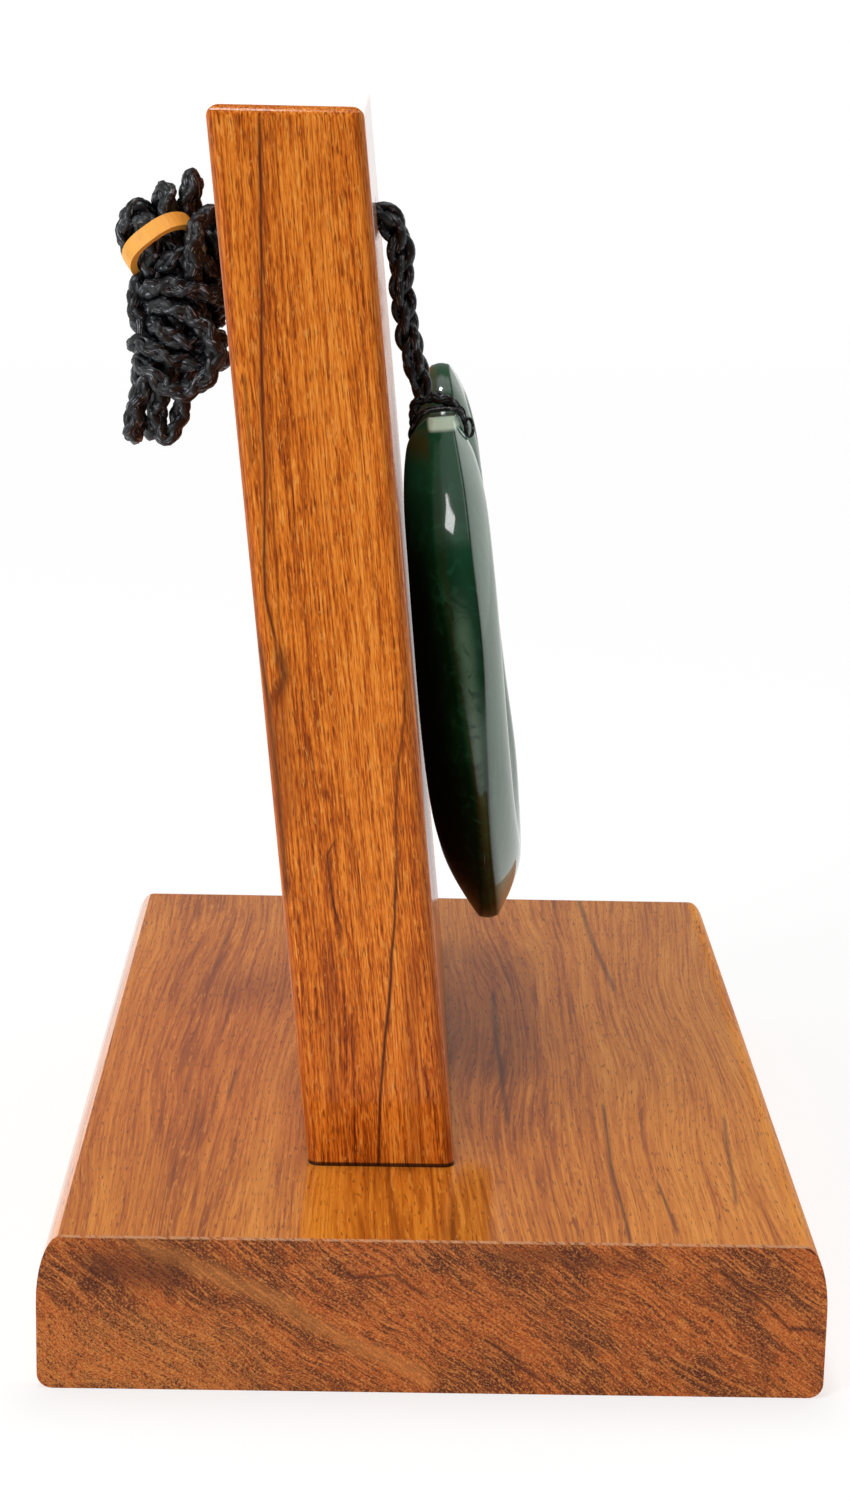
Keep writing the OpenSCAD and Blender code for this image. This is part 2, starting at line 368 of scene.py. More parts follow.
class Tree:
    """A node tree, with one method that adds any node."""

    def __init__(self, tree: bpy.types.NodeTree) -> None:
        """Empties the tree and keeps it."""
        self.tree = tree
        tree.nodes.clear()

    def node(self, kind: str, settings: dict[str, Any], inputs: dict[Any, Any], out: Any = 0) -> Wire:
        """Adds a node.

        Args:
            kind: the node's type.
            settings: its properties, set first. "stops" is a ramp's list of places and colours.
            inputs: a value or a Wire for each socket, by its name or its number.
            out: the output wanted.

        Returns:
            That output, or the first input of a node that has none.
        """
        made = self.tree.nodes.new(kind)
        for key, value in settings.items():
            if key == "stops":
                self._set_stops(made.color_ramp.elements, value)
            else:
                setattr(made, key, value)
        for key, value in inputs.items():
            if isinstance(value, Wire):
                self.tree.links.new(value.socket, made.inputs[key])
            elif made.inputs[key].type == "RGBA" and len(value) == 3:
                made.inputs[key].default_value = (*value, 1.0)
            else:
                made.inputs[key].default_value = value
        return Wire(self, made.outputs[out] if len(made.outputs) else made.inputs[0])

    @staticmethod
    def _set_stops(elements: Any, stops: Sequence[tuple[float, Colour]]) -> None:
        """Gives a ramp its stops.

        Args:
            elements: the new ramp's two elements.
            stops: two or more places with their colours.
        """
        while len(elements) < len(stops):
            elements.new(1.0)
        for element, (place, colour) in zip(elements, stops):
            element.position = place
            element.color = (*colour, 1.0)

    def ramp(self, place: Wire, stops: Sequence[tuple[float, Colour]]) -> Wire:
        """Returns the colour that a ramp with these stops has at a place."""
        return self.node("ShaderNodeValToRGB", {"stops": stops}, {0: place})

    def place(self, turn: Triple = (0.0, 0.0, 0.0), shift: Triple = (0.0, 0.0, 0.0)) -> Wire:
        """Finds the place in the shared frame.

        Args:
            turn: the degrees that it is turned by, first.
            shift: the millimetres that it is then shifted by.

        Returns:
            The place, in millimetres.
        """
        where = self.node("ShaderNodeTexCoord", {}, {}, "Object")
        turned = tuple(math.radians(a) for a in turn)
        values = {"Vector": where, "Location": shift, "Rotation": turned, "Scale": (1 / MM,) * 3}
        return self.node("ShaderNodeMapping", {"vector_type": "POINT"}, values)

    def parts(self, vector: Wire) -> tuple[Wire, Wire, Wire]:
        """Returns the three parts of a vector."""
        outs = self.node("ShaderNodeSeparateXYZ", {}, {0: vector}).socket.node.outputs
        return Wire(self, outs[0]), Wire(self, outs[1]), Wire(self, outs[2])

    def chart(self) -> tuple[Wire, Wire]:
        """Returns the two parts of the UV map."""
        return self.parts(self.node("ShaderNodeUVMap", {"uv_map": "UVMap"}, {}))[:2]

    def vector(self, x: Number, y: Number, z: Number) -> Wire:
        """Returns a vector of three values."""
        return self.node("ShaderNodeCombineXYZ", {}, {0: x, 1: y, 2: z})

    def noise(
        self, where: Any, scale: float = 1.0, detail: float = 2.0, rough: float = 0.5, bend: float = 0.0
    ) -> Wire:
        """Returns soft noise from 0 to 1.

        Args:
            where: the place that it is read at, as one Wire or as three values.
            scale: how many lumps go to a unit of the place.
            detail: how many finer layers it has.
            rough: how strong the finer layers are.
            bend: how far the pattern is warped.

        Returns:
            The noise's value.
        """
        place = where if isinstance(where, Wire) else self.vector(*where)
        values = {"Vector": place, "Scale": scale, "Detail": detail, "Roughness": rough, "Distortion": bend}
        return self.node("ShaderNodeTexNoise", {"noise_dimensions": "3D"}, values, "Fac")

    def mix(self, share: Number, first: Any, second: Any) -> Wire:
        """Returns two colours mixed by the share of the second, from 0 to 1."""
        settings = {"data_type": "RGBA", "blend_type": "MIX", "clamp_factor": True}
        return self.node("ShaderNodeMix", settings, {0: share, 6: first, 7: second}, 2)

    def layered(self, colour: Any, *layers: tuple[Number, Any]) -> Any:
        """Lays colours over a first one.

        Args:
            colour: the first colour, as a Wire or as three values.
            layers: the share and the colour of each layer, the lowest first.

        Returns:
            The colour that shows.
        """
        for share, tint in layers:
            colour = self.mix(share, colour, tint)
        return colour

    def bump(self, height: Wire, depth: float, strength: float) -> Wire:
        """Returns a normal raised by a height from 0 to 1, whose full depth is in millimetres."""
        values = {"Strength": strength, "Distance": depth * MM, "Height": height}
        return self.node("ShaderNodeBump", {}, values)


# Finishes


class Finish:
    """A material. Each kind gives its name and its shader's inputs."""

    name: str

    def inputs(self, tree: Tree) -> dict[str, Any]:
        """Returns the inputs of the finish's Principled shader."""
        raise NotImplementedError

    def material(self) -> bpy.types.Material:
        """Builds the material.

        Returns:
            The material, with its tree closed in a Principled shader.
        """
        made = bpy.data.materials.new(self.name)
        made.use_nodes = True
        tree = Tree(made.node_tree)
        shader = tree.node("ShaderNodeBsdfPrincipled", {}, self.inputs(tree))
        tree.node("ShaderNodeOutputMaterial", {}, {"Surface": shader})
        return made


class Cut(Enum):
    """Which piece of the stand a board of wood is."""

    UPRIGHT = "board"
    SLAB = "base"


RED_BROWN: Colour = (0.27, 0.045, 0.006)
VEIN_BROWN: Colour = (0.070, 0.014, 0.004)
SHADOW_BROWN: Colour = (0.012, 0.005, 0.002)

# Places of the wood's five tones, from the darkest to gold
TONE_PLACES = (0.36, 0.44, 0.49, 0.55, 0.64)
# Distance from the middle, along y, at which the board's sawn sides start
BOARD_SIDE: Span = (37.7, 38.3)
# Places before the board's plane at which its front face starts, and heights at which its gloss is back
BOARD_FRONT: Span = (-1.2, -0.3)
FRONT_TOP: Span = (86.0, 98.0)
# Height over the slab up to which the board's foot is dark
BOARD_FOOT: Span = (0.30, 0.55)
# Distance from the middle, along y, at which the slab's cut ends start
SLAB_END: Span = (57.8, 57.95)
# Places along x at which the slab's rounded edge starts
SLAB_CURVE: Span = (35.2, 36.4)
# Height at which the painted highlight along the upper edge of a cut end starts
SLAB_EDGE_HIGHLIGHT: Span = (15.72, 15.85)
# Slant of the ring lines on the cut ends, as a cosine and a sine
RING_SLANT: Span = (0.59, 0.81)
# The furthest that a vein may lie across the wood, each way
VEIN_REACH = 60.0


@dataclass(frozen=True)
class Vein:
    """A streak of another colour.

    Its path holds places in millimetres: how far along, rising, and how far across.
    """

    path: tuple[Span, ...]
    half: float
    strength: float
    tint: Colour
    fade: float = 1.5

    def mask(self, tree: Tree, along_it: Wire, across_it: Wire) -> Wire:
        """Returns the streak's strength at each place.

        Args:
            tree: the material's tree.
            along_it: the place along the streak.
            across_it: the place across it.

        Returns:
            A value from 0 to 1.
        """
        low, high = self.path[0][0], self.path[-1][0]
        width = 2 * VEIN_REACH
        stops = [((w - low) / (high - low), ((n + VEIN_REACH) / width,) * 3) for w, n in self.path]
        middle = tree.ramp((along_it - low) / (high - low), stops) * width - VEIN_REACH
        begun = along_it.ease(low - self.fade, low + self.fade)
        inside = begun * along_it.fade(high - self.fade, high + self.fade)
        return across_it.hump(middle, self.half) * inside * self.strength


@dataclass(frozen=True)
class VarnishedWood(Finish):
    """Reddish native timber under a gloss varnish.

    The grain is solid: rings about a heart line far off the piece, fibres and pores along it.
    """

    name: str
    cut: Cut
    pale: Colour
    middle: Colour
    deep: Colour
    dark: Colour
    gold: Colour
    heart: Span
    ring: float
    band: float
    coarse: float
    swing: float
    gloss: float
    sheen: float
    veins: tuple[Vein, ...]
    end_veins: tuple[Vein, ...] = ()

    def inputs(self, tree: Tree) -> dict[str, Any]:
        """Builds the wood's nodes.

        Args:
            tree: the material's tree.

        Returns:
            The shader's inputs.
        """
        upright = self.cut is Cut.UPRIGHT
        if upright:
            across, through, run = tree.parts(FACE.shader_place(tree))
        else:
            across, run, through = tree.parts(tree.place())
        # Slow bends of the grain, and the finer ones along it
        where = tree.vector(across, through, run * 0.06)
        sway = tree.noise(where, 0.06) - 0.5
        fine_sway = tree.noise(where, 0.35) - 0.5
        swing = (tree.noise((across * 0.04, 0.0, run * 0.012), 1.0, 1.0) - 0.5) * self.swing
        dx = across - self.heart[0] + sway * 5.0 + fine_sway + swing
        dz = through - self.heart[1] + sway * 4.0
        radius = (dx * dx + dz * dz) ** 0.5
        wave = fine_sway * 1.6
        drift = across + wave + sway * 5.0 + swing
        bands = tree.noise((radius, 0.0, run * 0.01), 0.45 / self.ring, 3.0, 0.6)
        fibre = tree.noise((drift, through, run * 0.03 / self.coarse), 4.6 / self.coarse, 3.0, 0.6)
        fleck = tree.noise((drift, through, run * 0.10 / self.coarse**1.5), 7.0 / self.coarse, 2.0, 0.6)
        pore = tree.noise((drift, through, run * 0.08), 6.0, 1.0)
        glint_highlight = tree.noise((drift, through, run * 0.16 / self.coarse), 4.4, 1.0, 0.5, 0.6)
        tone = fibre * (0.7 - self.band) + fleck * 0.30 + bands * self.band
        # The board is a little darker near its foot, and the slab is painted a little paler to the right,
        # to lift the shade that falls there
        tone = tone - run.fade(0.0, 60.0) * 0.015 if upright else tone + across.ease(0.0, 36.0) * 0.03
        tones = (self.dark, self.deep, self.middle, self.pale, self.gold)
        colour = tree.layered(
            tree.ramp(tone, tuple(zip(TONE_PLACES, tones))),
            (pore.ease(0.60, 0.70) * 0.75, self.dark),
            # Gold glints along the fibres, painted highlights
            (glint_highlight.ease(0.62, 0.70) * 0.45, self.gold),
            *((vein.mask(tree, run, across + wave * 0.5), vein.tint) for vein in self.veins),
        )
        if upright:
            sawn = abs(through).ease(*BOARD_SIDE)
            front = across.ease(*BOARD_FRONT) * run.fade(*FRONT_TOP)
            coat = self.gloss - (sawn * 0.8).at_least(front * 0.45)
            c, s = FACE.tilt
            rise = across * s + run * c
            colour = tree.mix(rise.fade(*BOARD_FOOT) * 0.92, colour, SHADOW_BROWN)
        else:
            sawn = abs(run).ease(*SLAB_END)
            coat = self.gloss - sawn * 0.75 - across.ease(*SLAB_CURVE) * (1.0 - sawn)
            colour = tree.mix(sawn, colour, self._end_grain(tree, across, through, fine_sway))
        return {
            "Base Color": colour,
            "Roughness": 0.5,
            "Specular IOR Level": 0.06,
            "Coat Weight": coat,
            "Coat Roughness": self.sheen,
            "Normal": tree.bump((fibre * 0.5 + pore.fade(0.6, 0.72) * 0.5) * sawn, 0.05, 0.5),
        }

    def _end_grain(self, tree: Tree, x: Wire, z: Wire, sway: Wire) -> Wire:
        """Returns the colour of the slab's cut ends: slanting ring lines, dark patches, curled fibres and a
        painted highlight along the upper edge.

        Args:
            tree: the material's tree.
            x: the place across the end.
            z: the place up it.
            sway: noise about 0 that the veins follow.

        Returns:
            The colour.
        """
        c, s = RING_SLANT
        flat = tree.vector(x, z, 0.0)
        q = x * c + z * s + (tree.noise(flat, 0.07) - 0.5) * 4.0
        t = x * s - z * c
        patch = tree.noise((q * 0.16, t * 0.07, 0.0), 1.0, 3.0, 0.6)
        lines = tree.noise((q, t * 0.06, 0.0), 2.6, 3.0, 0.65)
        dash = tree.noise((q, t * 0.14, 2.0), 4.4, 2.0, 0.6)
        grain = tree.noise((q, t * 0.45, 5.0), 8.0, 1.0)
        worm = tree.noise(flat, 1.2, 1.0, 0.5, 1.6)
        curl = worm.hump(0.42, 0.04).at_least(worm.hump(0.52, 0.035)).at_least(worm.hump(0.61, 0.04))
        low_left = x.fade(-24.0, -10.0) * z.fade(5.5, 10.0)
        return tree.layered(
            (0.115, 0.018, 0.004),
            (patch.ease(0.40, 0.58), (0.420, 0.082, 0.011)),
            (lines.ease(0.50, 0.62) * 0.8, (0.540, 0.145, 0.026)),
            (lines.fade(0.37, 0.48) * 0.75, (0.075, 0.013, 0.003)),
            (dash.ease(0.56, 0.63) * 0.75, (0.050, 0.009, 0.002)),
            (dash.fade(0.34, 0.43) * 0.65, (0.640, 0.220, 0.045)),
            (curl * (low_left * 0.6 + 0.22), (0.640, 0.240, 0.055)),
            (grain.ease(0.55, 0.66) * 0.6, (0.070, 0.012, 0.003)),
            (grain.fade(0.34, 0.44) * 0.6, (0.740, 0.270, 0.070)),
            *((vein.mask(tree, x, z + sway * 1.5), vein.tint) for vein in self.end_veins),
            # A painted highlight along the upper edge, broken by the dashes
            (z.ease(*SLAB_EDGE_HIGHLIGHT) * dash.ease(0.38, 0.5) * 0.6, (0.80, 0.42, 0.22)),
        )


@dataclass(frozen=True)
class Greenstone(Finish):
    """Polished nephrite: deep green with paler and olive clouds and fine dark mottling."""

    name: str = "greenstone"
    black: Colour = (0.0012, 0.0030, 0.0012)
    deep: Colour = (0.0022, 0.0240, 0.0075)
    green: Colour = (0.0045, 0.0600, 0.0190)
    leaf: Colour = (0.0180, 0.1100, 0.0520)
    grey: Colour = (0.105, 0.205, 0.125)
    pale: Colour = (0.560, 0.720, 0.570)
    olive: Colour = (0.044, 0.042, 0.010)
    # Where round the arm, as u, the back face ends and the near rim's parts start or end
    back_end: Span = (0.30, 0.36)
    rim_start: Span = (0.872, 0.884)
    rim_end: Span = (0.945, 0.955)
    rim_dull: Span = (0.918, 0.952)
    rim_dark: Span = (0.935, 0.972)
    # Middle and half width, as u, of the front face and of the leaf green line on the rim
    front_face: Span = (0.66, 0.19)
    leaf_line: Span = (0.895, 0.04)
    # Where across the stone, as y, the near arm ends, and heights at which its shades start or end
    near_end: Span = (-2.0, 3.0)
    tip_end: Span = (18.0, 23.0)
    low_end: Span = (18.0, 38.0)
    # Heights over which a paler green is painted, as light shining through the thin stem
    stem_light_through: Span = (58.0, 70.0)
    # Height at which the stem's flat top starts, painted pale as light falls on it
    lit_stem_top: Span = (71.0, 71.5)
    # A painted reflection of the pale floor, a milky veil on the near rim, by height and by hundredths of u
    # from its middle
    floor_reflection_middle: float = 91.0
    floor_reflection: Vein = Vein(
        ((35.0, -0.3), (37.0, -0.1), (41.9, 0.0), (47.5, 0.2), (54.2, 0.5)),
        half=3.0, strength=0.9, tint=(0.105, 0.205, 0.125), fade=3.0,
    )

    def inputs(self, tree: Tree) -> dict[str, Any]:
        """Builds the stone's nodes.

        The UV map's u goes round the arm: its back face up to 0.33, then its inner rim, its front face
        from 0.5 to 0.83, and its outer rim.

        Args:
            tree: the material's tree.

        Returns:
            The shader's inputs.
        """
        where = FACE.shader_place(tree)
        n, y, w = tree.parts(where)
        u = tree.chart()[0]
        cloud = tree.noise(where, 0.10, 3.0, 0.55, 0.6)
        mottle = tree.noise(where, 0.55, 4.0, 0.6, 0.8)
        speck = tree.noise(where, 2.6)
        streak = tree.noise((n, y, w * 0.07), 1.5, 3.0, 0.6)
        front = u.hump(*self.front_face).ease(0.0, 0.5)
        back = u.fade(*self.back_end)
        near = y.fade(*self.near_end)
        low = w.fade(*self.low_end) * near * (1.0 - front)
        floor_reflection = self.floor_reflection.mask(tree, w, u * 100.0 - self.floor_reflection_middle)
        shadow = (back * u.ease(0.0, 0.10) * 0.92).at_least((back + u.ease(*self.rim_dark)) * 0.25)
        colour = tree.layered(
            self.deep,
            (cloud.ease(0.35, 0.7), self.green),
            (mottle.ease(0.50, 0.72) * 0.6, self.leaf),
            (front * streak.ease(0.45, 0.62) * 0.6, self.leaf),
            ((front * 0.5).at_least(y.ease(2.0, 8.0) * 0.3), self.grey),
            (shadow * near * (1.0 - w.ease(54.0, 66.0) * 0.5), self.black),
            # Painted light shining through the thin stem
            (w.ease(*self.stem_light_through) * near * 0.45, self.leaf),
            (u.hump(*self.leaf_line) * w.ease(24.0, 34.0) * 0.35, self.leaf),
            # Painted light on the stem's flat top
            (w.ease(*self.lit_stem_top) * near * n.ease(3.4, 3.9), self.pale),
            (w.hump(70.0, 2.4) * near * n.fade(3.2, 3.8) * 0.9, self.olive),
            (low * 0.7, self.black),
            (w.fade(*self.tip_end) * near * front * 0.9, self.olive),
            # A painted reflection of the floor, a pale veil on the near rim
            (floor_reflection * mottle.ease(0.3, 0.55) * near, self.floor_reflection.tint),
            (speck.ease(0.72, 0.8) * 0.25, self.grey),
        )
        # The polish is weaker high on the near rim, behind, and low on the near arm
        upper = w.ease(55.0, 58.5) * u.ease(*self.rim_start) * u.fade(*self.rim_end) * near
        shade = ((back + u.ease(*self.rim_dull)) * near).at_least(low * 0.75) * 0.88
        return {
            "Base Color": colour,
            "Roughness": 0.35,
            "Specular IOR Level": 0.03,
            "Coat Weight": 0.9 - shade.at_least(upper * 0.65),
            "Coat Roughness": 0.06,
            "Coat IOR": 1.55,
            "Normal": tree.bump(tree.noise(where, 0.25), 0.05, 0.3),
        }


@dataclass(frozen=True)
class WaxedCord(Finish):
    """Black waxed cotton: fine fibres along each strand, with grey wax and painted grey highlights on its
    high places.
    """

    name: str = "waxed_cord"
    black: Colour = (0.0016, 0.0022, 0.0034)
    wax_and_glint: Colour = (0.300, 0.330, 0.380)

    def inputs(self, tree: Tree) -> dict[str, Any]:
        """Builds the cord's nodes.

        Args:
            tree: the material's tree.

        Returns:
            The shader's inputs.
        """
        u, v = tree.chart()
        fibre = tree.noise((u + v * 0.18, v * 0.10, 0.0), 7.0, 2.0, 0.6)
        smear = tree.noise(tree.place(), 1.3, 3.0, 0.65)
        # Grey wax on the strands' high places, painted pale as their highlights too
        wax_and_glint_mask = fibre.ease(0.52, 0.62) * smear.ease(0.48, 0.58)
        return {
            "Base Color": tree.mix(wax_and_glint_mask * 0.8, self.black, self.wax_and_glint),
            "Roughness": 0.40 - wax_and_glint_mask * 0.14,
            "Specular IOR Level": 0.4,
            "Normal": tree.bump(fibre * 0.6 + smear * 0.4, 0.10, 0.8),
        }


@dataclass(frozen=True)
class AmberRubber(Finish):
    """A flat rubber band: matt amber, paler where it is dusty."""

    name: str = "amber_rubber"
    amber: Colour = (0.90, 0.42, 0.055)
    brown: Colour = (0.62, 0.24, 0.03)

    def inputs(self, tree: Tree) -> dict[str, Any]:
        """Builds the rubber's nodes.

        Args:
            tree: the material's tree.

        Returns:
            The shader's inputs.
        """
        where = tree.place()
        cloud = tree.noise(where, 0.5, 3.0, 0.6)
        grain = tree.noise(where, 5.0)
        return {
            "Base Color": tree.mix(cloud.ease(0.45, 0.75) * 0.5, self.amber, self.brown),
            "Roughness": 0.45 + grain * 0.15,
            "Normal": tree.bump(grain, 0.03, 0.5),
        }


@dataclass(frozen=True)
class PaleFloor(Finish):
    """A plain pale floor, with a faint shade before the slab's near end."""

    name: str = "studio_floor"
    dim: Colour = (0.12, 0.12, 0.12)
    bright: Colour = (0.34, 0.34, 0.34)
    glow: float = 0.70

    def inputs(self, tree: Tree) -> dict[str, Any]:
        """Builds the floor's nodes.

        Args:
            tree: the material's tree.

        Returns:
            The shader's inputs.
        """
        x, y, _ = tree.parts(tree.place())
        # A faint painted shadow on the floor before the slab's near end
        before = (-58.0 - y).fade(0.0, 12.0) * (y + 57.5).fade(0.0, 1.0) * abs(x).fade(36.0, 44.0)
        lit = y.ease(-420.0, -100.0) * 0.75 + 0.25 + y.ease(150.0, 1500.0) * 0.14 - before * 0.09
        return {
            "Base Color": tree.mix(lit, self.dim, self.bright),
            "Roughness": 0.9,
            "Emission Color": tree.vector(lit, lit, lit),
            "Emission Strength": self.glow,
        }


# Cords


@dataclass(frozen=True)
class RoundPlait:
    """A round plait of four strands, two going each way round. Sizes are in millimetres."""

    width: float = 2.45
    strand: float = 1.2
    lift: float = 0.15
    lay: float = 5.6

    @property
    def body(self) -> float:
        """Returns the width between the strands' hollows, which is how near two runs lie."""
        return self.width - 2 * self.lift

    def strands(self, line: np.ndarray) -> list[np.ndarray]:
        """Finds the middle of each strand.

        Args:
            line: the middle of the plait, in metres.

        Returns:
            Four lines, in metres.
        """
        turn = 2 * math.pi * along(line) / (self.lay * MM)
        found = []
        for k in range(4):
            way = 1 if k < 2 else -1
            angle = way * turn + math.pi * (k % 2) + (0 if way > 0 else math.pi / 2)
            r = ((self.width - self.strand) / 2 - self.lift * (1 - way * np.sin(2 * turn))) * MM
            found.append(circling(line, angle, r))
        return found


@dataclass
class Necklace:
    """The long loop of plaited cord, hanked behind the board and wrapped round its own middle.

    Places are on the board, in millimetres: distance in front of its face, y and height up.
    """

    plait: RoundPlait = field(default_factory=RoundPlait)
    board_back: float = -15.0
    # From the board's hole over the band's right end and down the front
    hole_run: Route = (
        (-15.6, -0.9, 94.2), (-16.8, -1.0, 95.6), (-17.7, -2.2, 96.7), (-18.6, -4.0, 96.5),
        (-19.5, -5.6, 95.3), (-20.2, -6.2, 93.6), (-20.5, -5.4, 91.6),
    )
    # Right column of runs, with the right-hand top fold
    right_runs: Route = (
        (-20.2, -4.0, 89.4), (-20.1, -3.4, 87.0), (-20.1, -3.4, 84.0), (-20.5, -2.8, 81.2),
        (-20.8, -1.2, 79.6), (-20.8, 0.2, 79.8), (-20.4, 1.0, 81.6), (-20.1, 1.1, 84.0),
        (-20.1, 1.1, 88.0), (-20.2, 0.8, 93.2), (-19.8, 1.4, 96.6), (-19.5, 1.6, 99.3),
        (-19.4, 0.6, 101.2), (-19.0, -1.2, 101.6), (-19.0, -2.6, 99.8), (-19.9, -3.2, 96.8),
        (-20.4, -2.8, 93.8), (-20.1, -1.1, 88.0), (-20.1, -1.1, 83.0),
    )
    # The open lower fold on the right, the middle column and the middle top fold
    middle_runs: Route = (
        (-21.2, -1.4, 79.6), (-22.4, -2.0, 77.2), (-23.3, -2.3, 75.0), (-24.1, -2.4, 72.9),
        (-25.0, -2.5, 71.6), (-25.8, -2.4, 73.5), (-25.7, -2.4, 76.0), (-24.8, -2.8, 79.2),
        (-22.4, -3.3, 83.0), (-22.2, -3.3, 88.0), (-22.2, -3.8, 93.2), (-22.0, -4.0, 96.8),
        (-21.8, -3.4, 99.1), (-22.0, -1.8, 100.2), (-22.6, -0.2, 99.1), (-22.6, 0.6, 96.6),
        (-22.3, 0.8, 92.6), (-22.2, 1.1, 88.0), (-22.3, 1.1, 83.0), (-24.4, 0.8, 79.2),
        (-26.0, 0.6, 76.0), (-26.9, 1.0, 73.2), (-27.1, 2.6, 72.0), (-26.9, 4.2, 73.2),
        (-26.0, 4.6, 76.2), (-24.5, 3.5, 82.0), (-24.3, 3.3, 87.0), (-23.6, 3.0, 91.2),
        (-23.8, 2.0, 95.0), (-23.9, 0.6, 97.2),
    )
    # The arc that bulges out on the left above the band, and the left column down to the lowest fold
    left_runs: Route = (
        (-24.0, -1.2, 98.0), (-25.2, -1.6, 98.2), (-26.2, -1.6, 97.4), (-27.0, -1.2, 96.0),
        (-27.4, -0.6, 94.3), (-27.4, 0.2, 92.4), (-26.6, 0.8, 90.8), (-25.7, 0.6, 89.4),
        (-25.7, -0.6, 87.6), (-25.8, -2.2, 85.6), (-25.2, -2.4, 83.2), (-25.5, -2.4, 81.0),
        (-26.6, -2.8, 79.0), (-27.6, -3.1, 77.4), (-28.3, -3.2, 75.4), (-28.9, -2.6, 73.2),
        (-28.6, -1.0, 72.2), (-28.0, 0.8, 73.1), (-27.7, 1.4, 75.6), (-26.6, 1.3, 79.0),
        (-24.5, 1.1, 83.0), (-24.3, 1.1, 88.0), (-24.4, 0.4, 91.6), (-25.4, -0.8, 94.6),
        (-25.7, -2.6, 96.4), (-24.7, -4.2, 97.1), (-23.5, -4.9, 96.0), (-23.5, -4.2, 93.2),
        (-24.3, -1.3, 88.0), (-24.3, -1.1, 83.0),
    )
    # The runs at the back
    back_runs: Route = (
        (-24.7, -0.6, 80.2), (-24.5, 1.0, 78.6), (-23.8, 2.6, 78.8), (-22.7, 3.3, 81.0),
        (-22.2, 3.3, 84.0), (-22.0, 3.4, 88.0), (-21.8, 3.6, 91.0), (-21.6, 3.0, 95.4),
        (-21.3, 1.4, 97.2), (-21.1, -0.6, 97.0), (-21.3, -1.2, 93.4), (-22.2, -1.1, 88.0),
        (-22.2, -1.1, 83.0), (-22.0, -0.6, 80.4), (-21.4, 1.0, 79.0), (-20.8, 2.8, 79.6),
        (-20.3, 3.3, 81.6), (-20.1, 3.3, 84.0), (-19.8, 3.3, 88.0), (-20.2, 2.8, 92.0),
        (-19.6, 2.8, 95.0),
    )
    # Out of the band again, round the back and over the front from the left, into the hanging loop
    side_run: Route = (
        (-18.6, 1.8, 96.0), (-17.9, 0.4, 95.2), (-17.9, -0.4, 93.2), (-18.0, 0.4, 90.8),
        (-18.2, 2.4, 88.6), (-19.2, 4.4, 87.0), (-21.0, 5.6, 86.0), (-23.0, 5.7, 85.9),
        (-24.6, 4.6, 86.2), (-25.4, 2.4, 86.8), (-25.6, -0.4, 87.6), (-25.3, -3.0, 88.2),
        (-24.4, -5.0, 88.0), (-22.6, -5.7, 87.3), (-21.0, -5.9, 86.4), (-19.8, -6.0, 85.4),
        (-18.9, -6.0, 84.3),
    )
    # Front of each turn round the middle, the hanging loop first
    wraps: tuple[Route, ...] = (
        ((-18.3, -5.9, 82.9), (-18.3, -5.9, 81.2), (-19.3, -6.0, 79.2), (-20.9, -6.1, 77.9),
         (-22.4, -6.1, 77.3), (-23.8, -6.0, 77.6), (-24.9, -5.7, 78.9), (-25.5, -5.2, 80.6),
         (-25.5, -4.0, 81.9)),
        ((-19.2, -4.2, 81.6), (-20.4, -5.0, 80.8), (-22.2, -5.4, 80.9), (-23.7, -5.7, 81.8),
         (-25.0, -5.5, 83.0), (-25.5, -4.2, 84.2)),
        ((-19.4, -4.0, 83.0), (-20.4, -5.0, 82.2), (-21.6, -5.5, 82.2), (-22.9, -5.7, 83.3),
         (-24.3, -5.7, 84.9), (-25.3, -4.2, 86.2)),
        ((-18.4, -4.2, 88.2), (-19.9, -5.5, 89.0), (-22.0, -5.9, 89.7), (-23.6, -5.4, 90.0),
         (-24.4, -3.8, 89.2)),
        ((-18.4, -4.2, 90.3), (-19.2, -5.0, 91.2), (-20.7, -5.8, 92.4), (-22.2, -6.0, 92.8),
         (-23.3, -5.9, 91.7), (-23.8, -4.8, 90.2)),
    )
    # Height at which each turn goes round the back
    wrap_backs: tuple[float, ...] = (79.4, 81.4, 83.4, 87.2, 89.0)
    # Where each turn passes on the left, behind and on the right: y or distance and y, and on the
    # left and right also the shares of the height that it leaves and of the one that it goes to
    wrap_left: Route = ((-1.5, 0.7, 0.3), (1.8, 0.3, 0.7))
    wrap_behind: tuple[Span, ...] = ((-24.6, 4.4), (-22.2, 5.7), (-19.6, 4.6))
    wrap_right: tuple[tuple[float, ...], ...] = ((-18.6, 1.8, 0.6, 0.4), (-18.4, -1.5, 0.2, 0.8))
    last_run: Route = ((-17.6, 1.8, 91.4), (-16.9, 1.2, 92.8), (-15.6, 0.9, 94.2))
    # The rubber band's ring: its middle, half lengths inside it, thickness, slope, rise and reach
    band_middle: Span = (-22.9, 92.6)
    band_inside: Span = (3.6, 5.9)
    band_thick: float = 0.8
    band_slope: float = 31.0
    band_tip: float = 25.0
    band_reach: float = 1.7
    # Distance between the route's points, and between those of the finished line
    route_step: float = 0.8
    line_step: float = 0.34
    # How the runs settle: rounds, the share of each kind of move, and the room that they have
    rounds: int = 200
    push_share: float = 0.22
    press_share: float = 0.5
    smooth_share: float = 0.30
    return_share: float = 0.04
    length_share: float = 0.4
    squeeze: float = 0.98
    board_gap: float = 0.15
    half_width: float = 6.2
    # Points along the cord that don't push each other, and those at its ends that stay in the hole
    neighbours: int = 4
    in_hole: int = 2

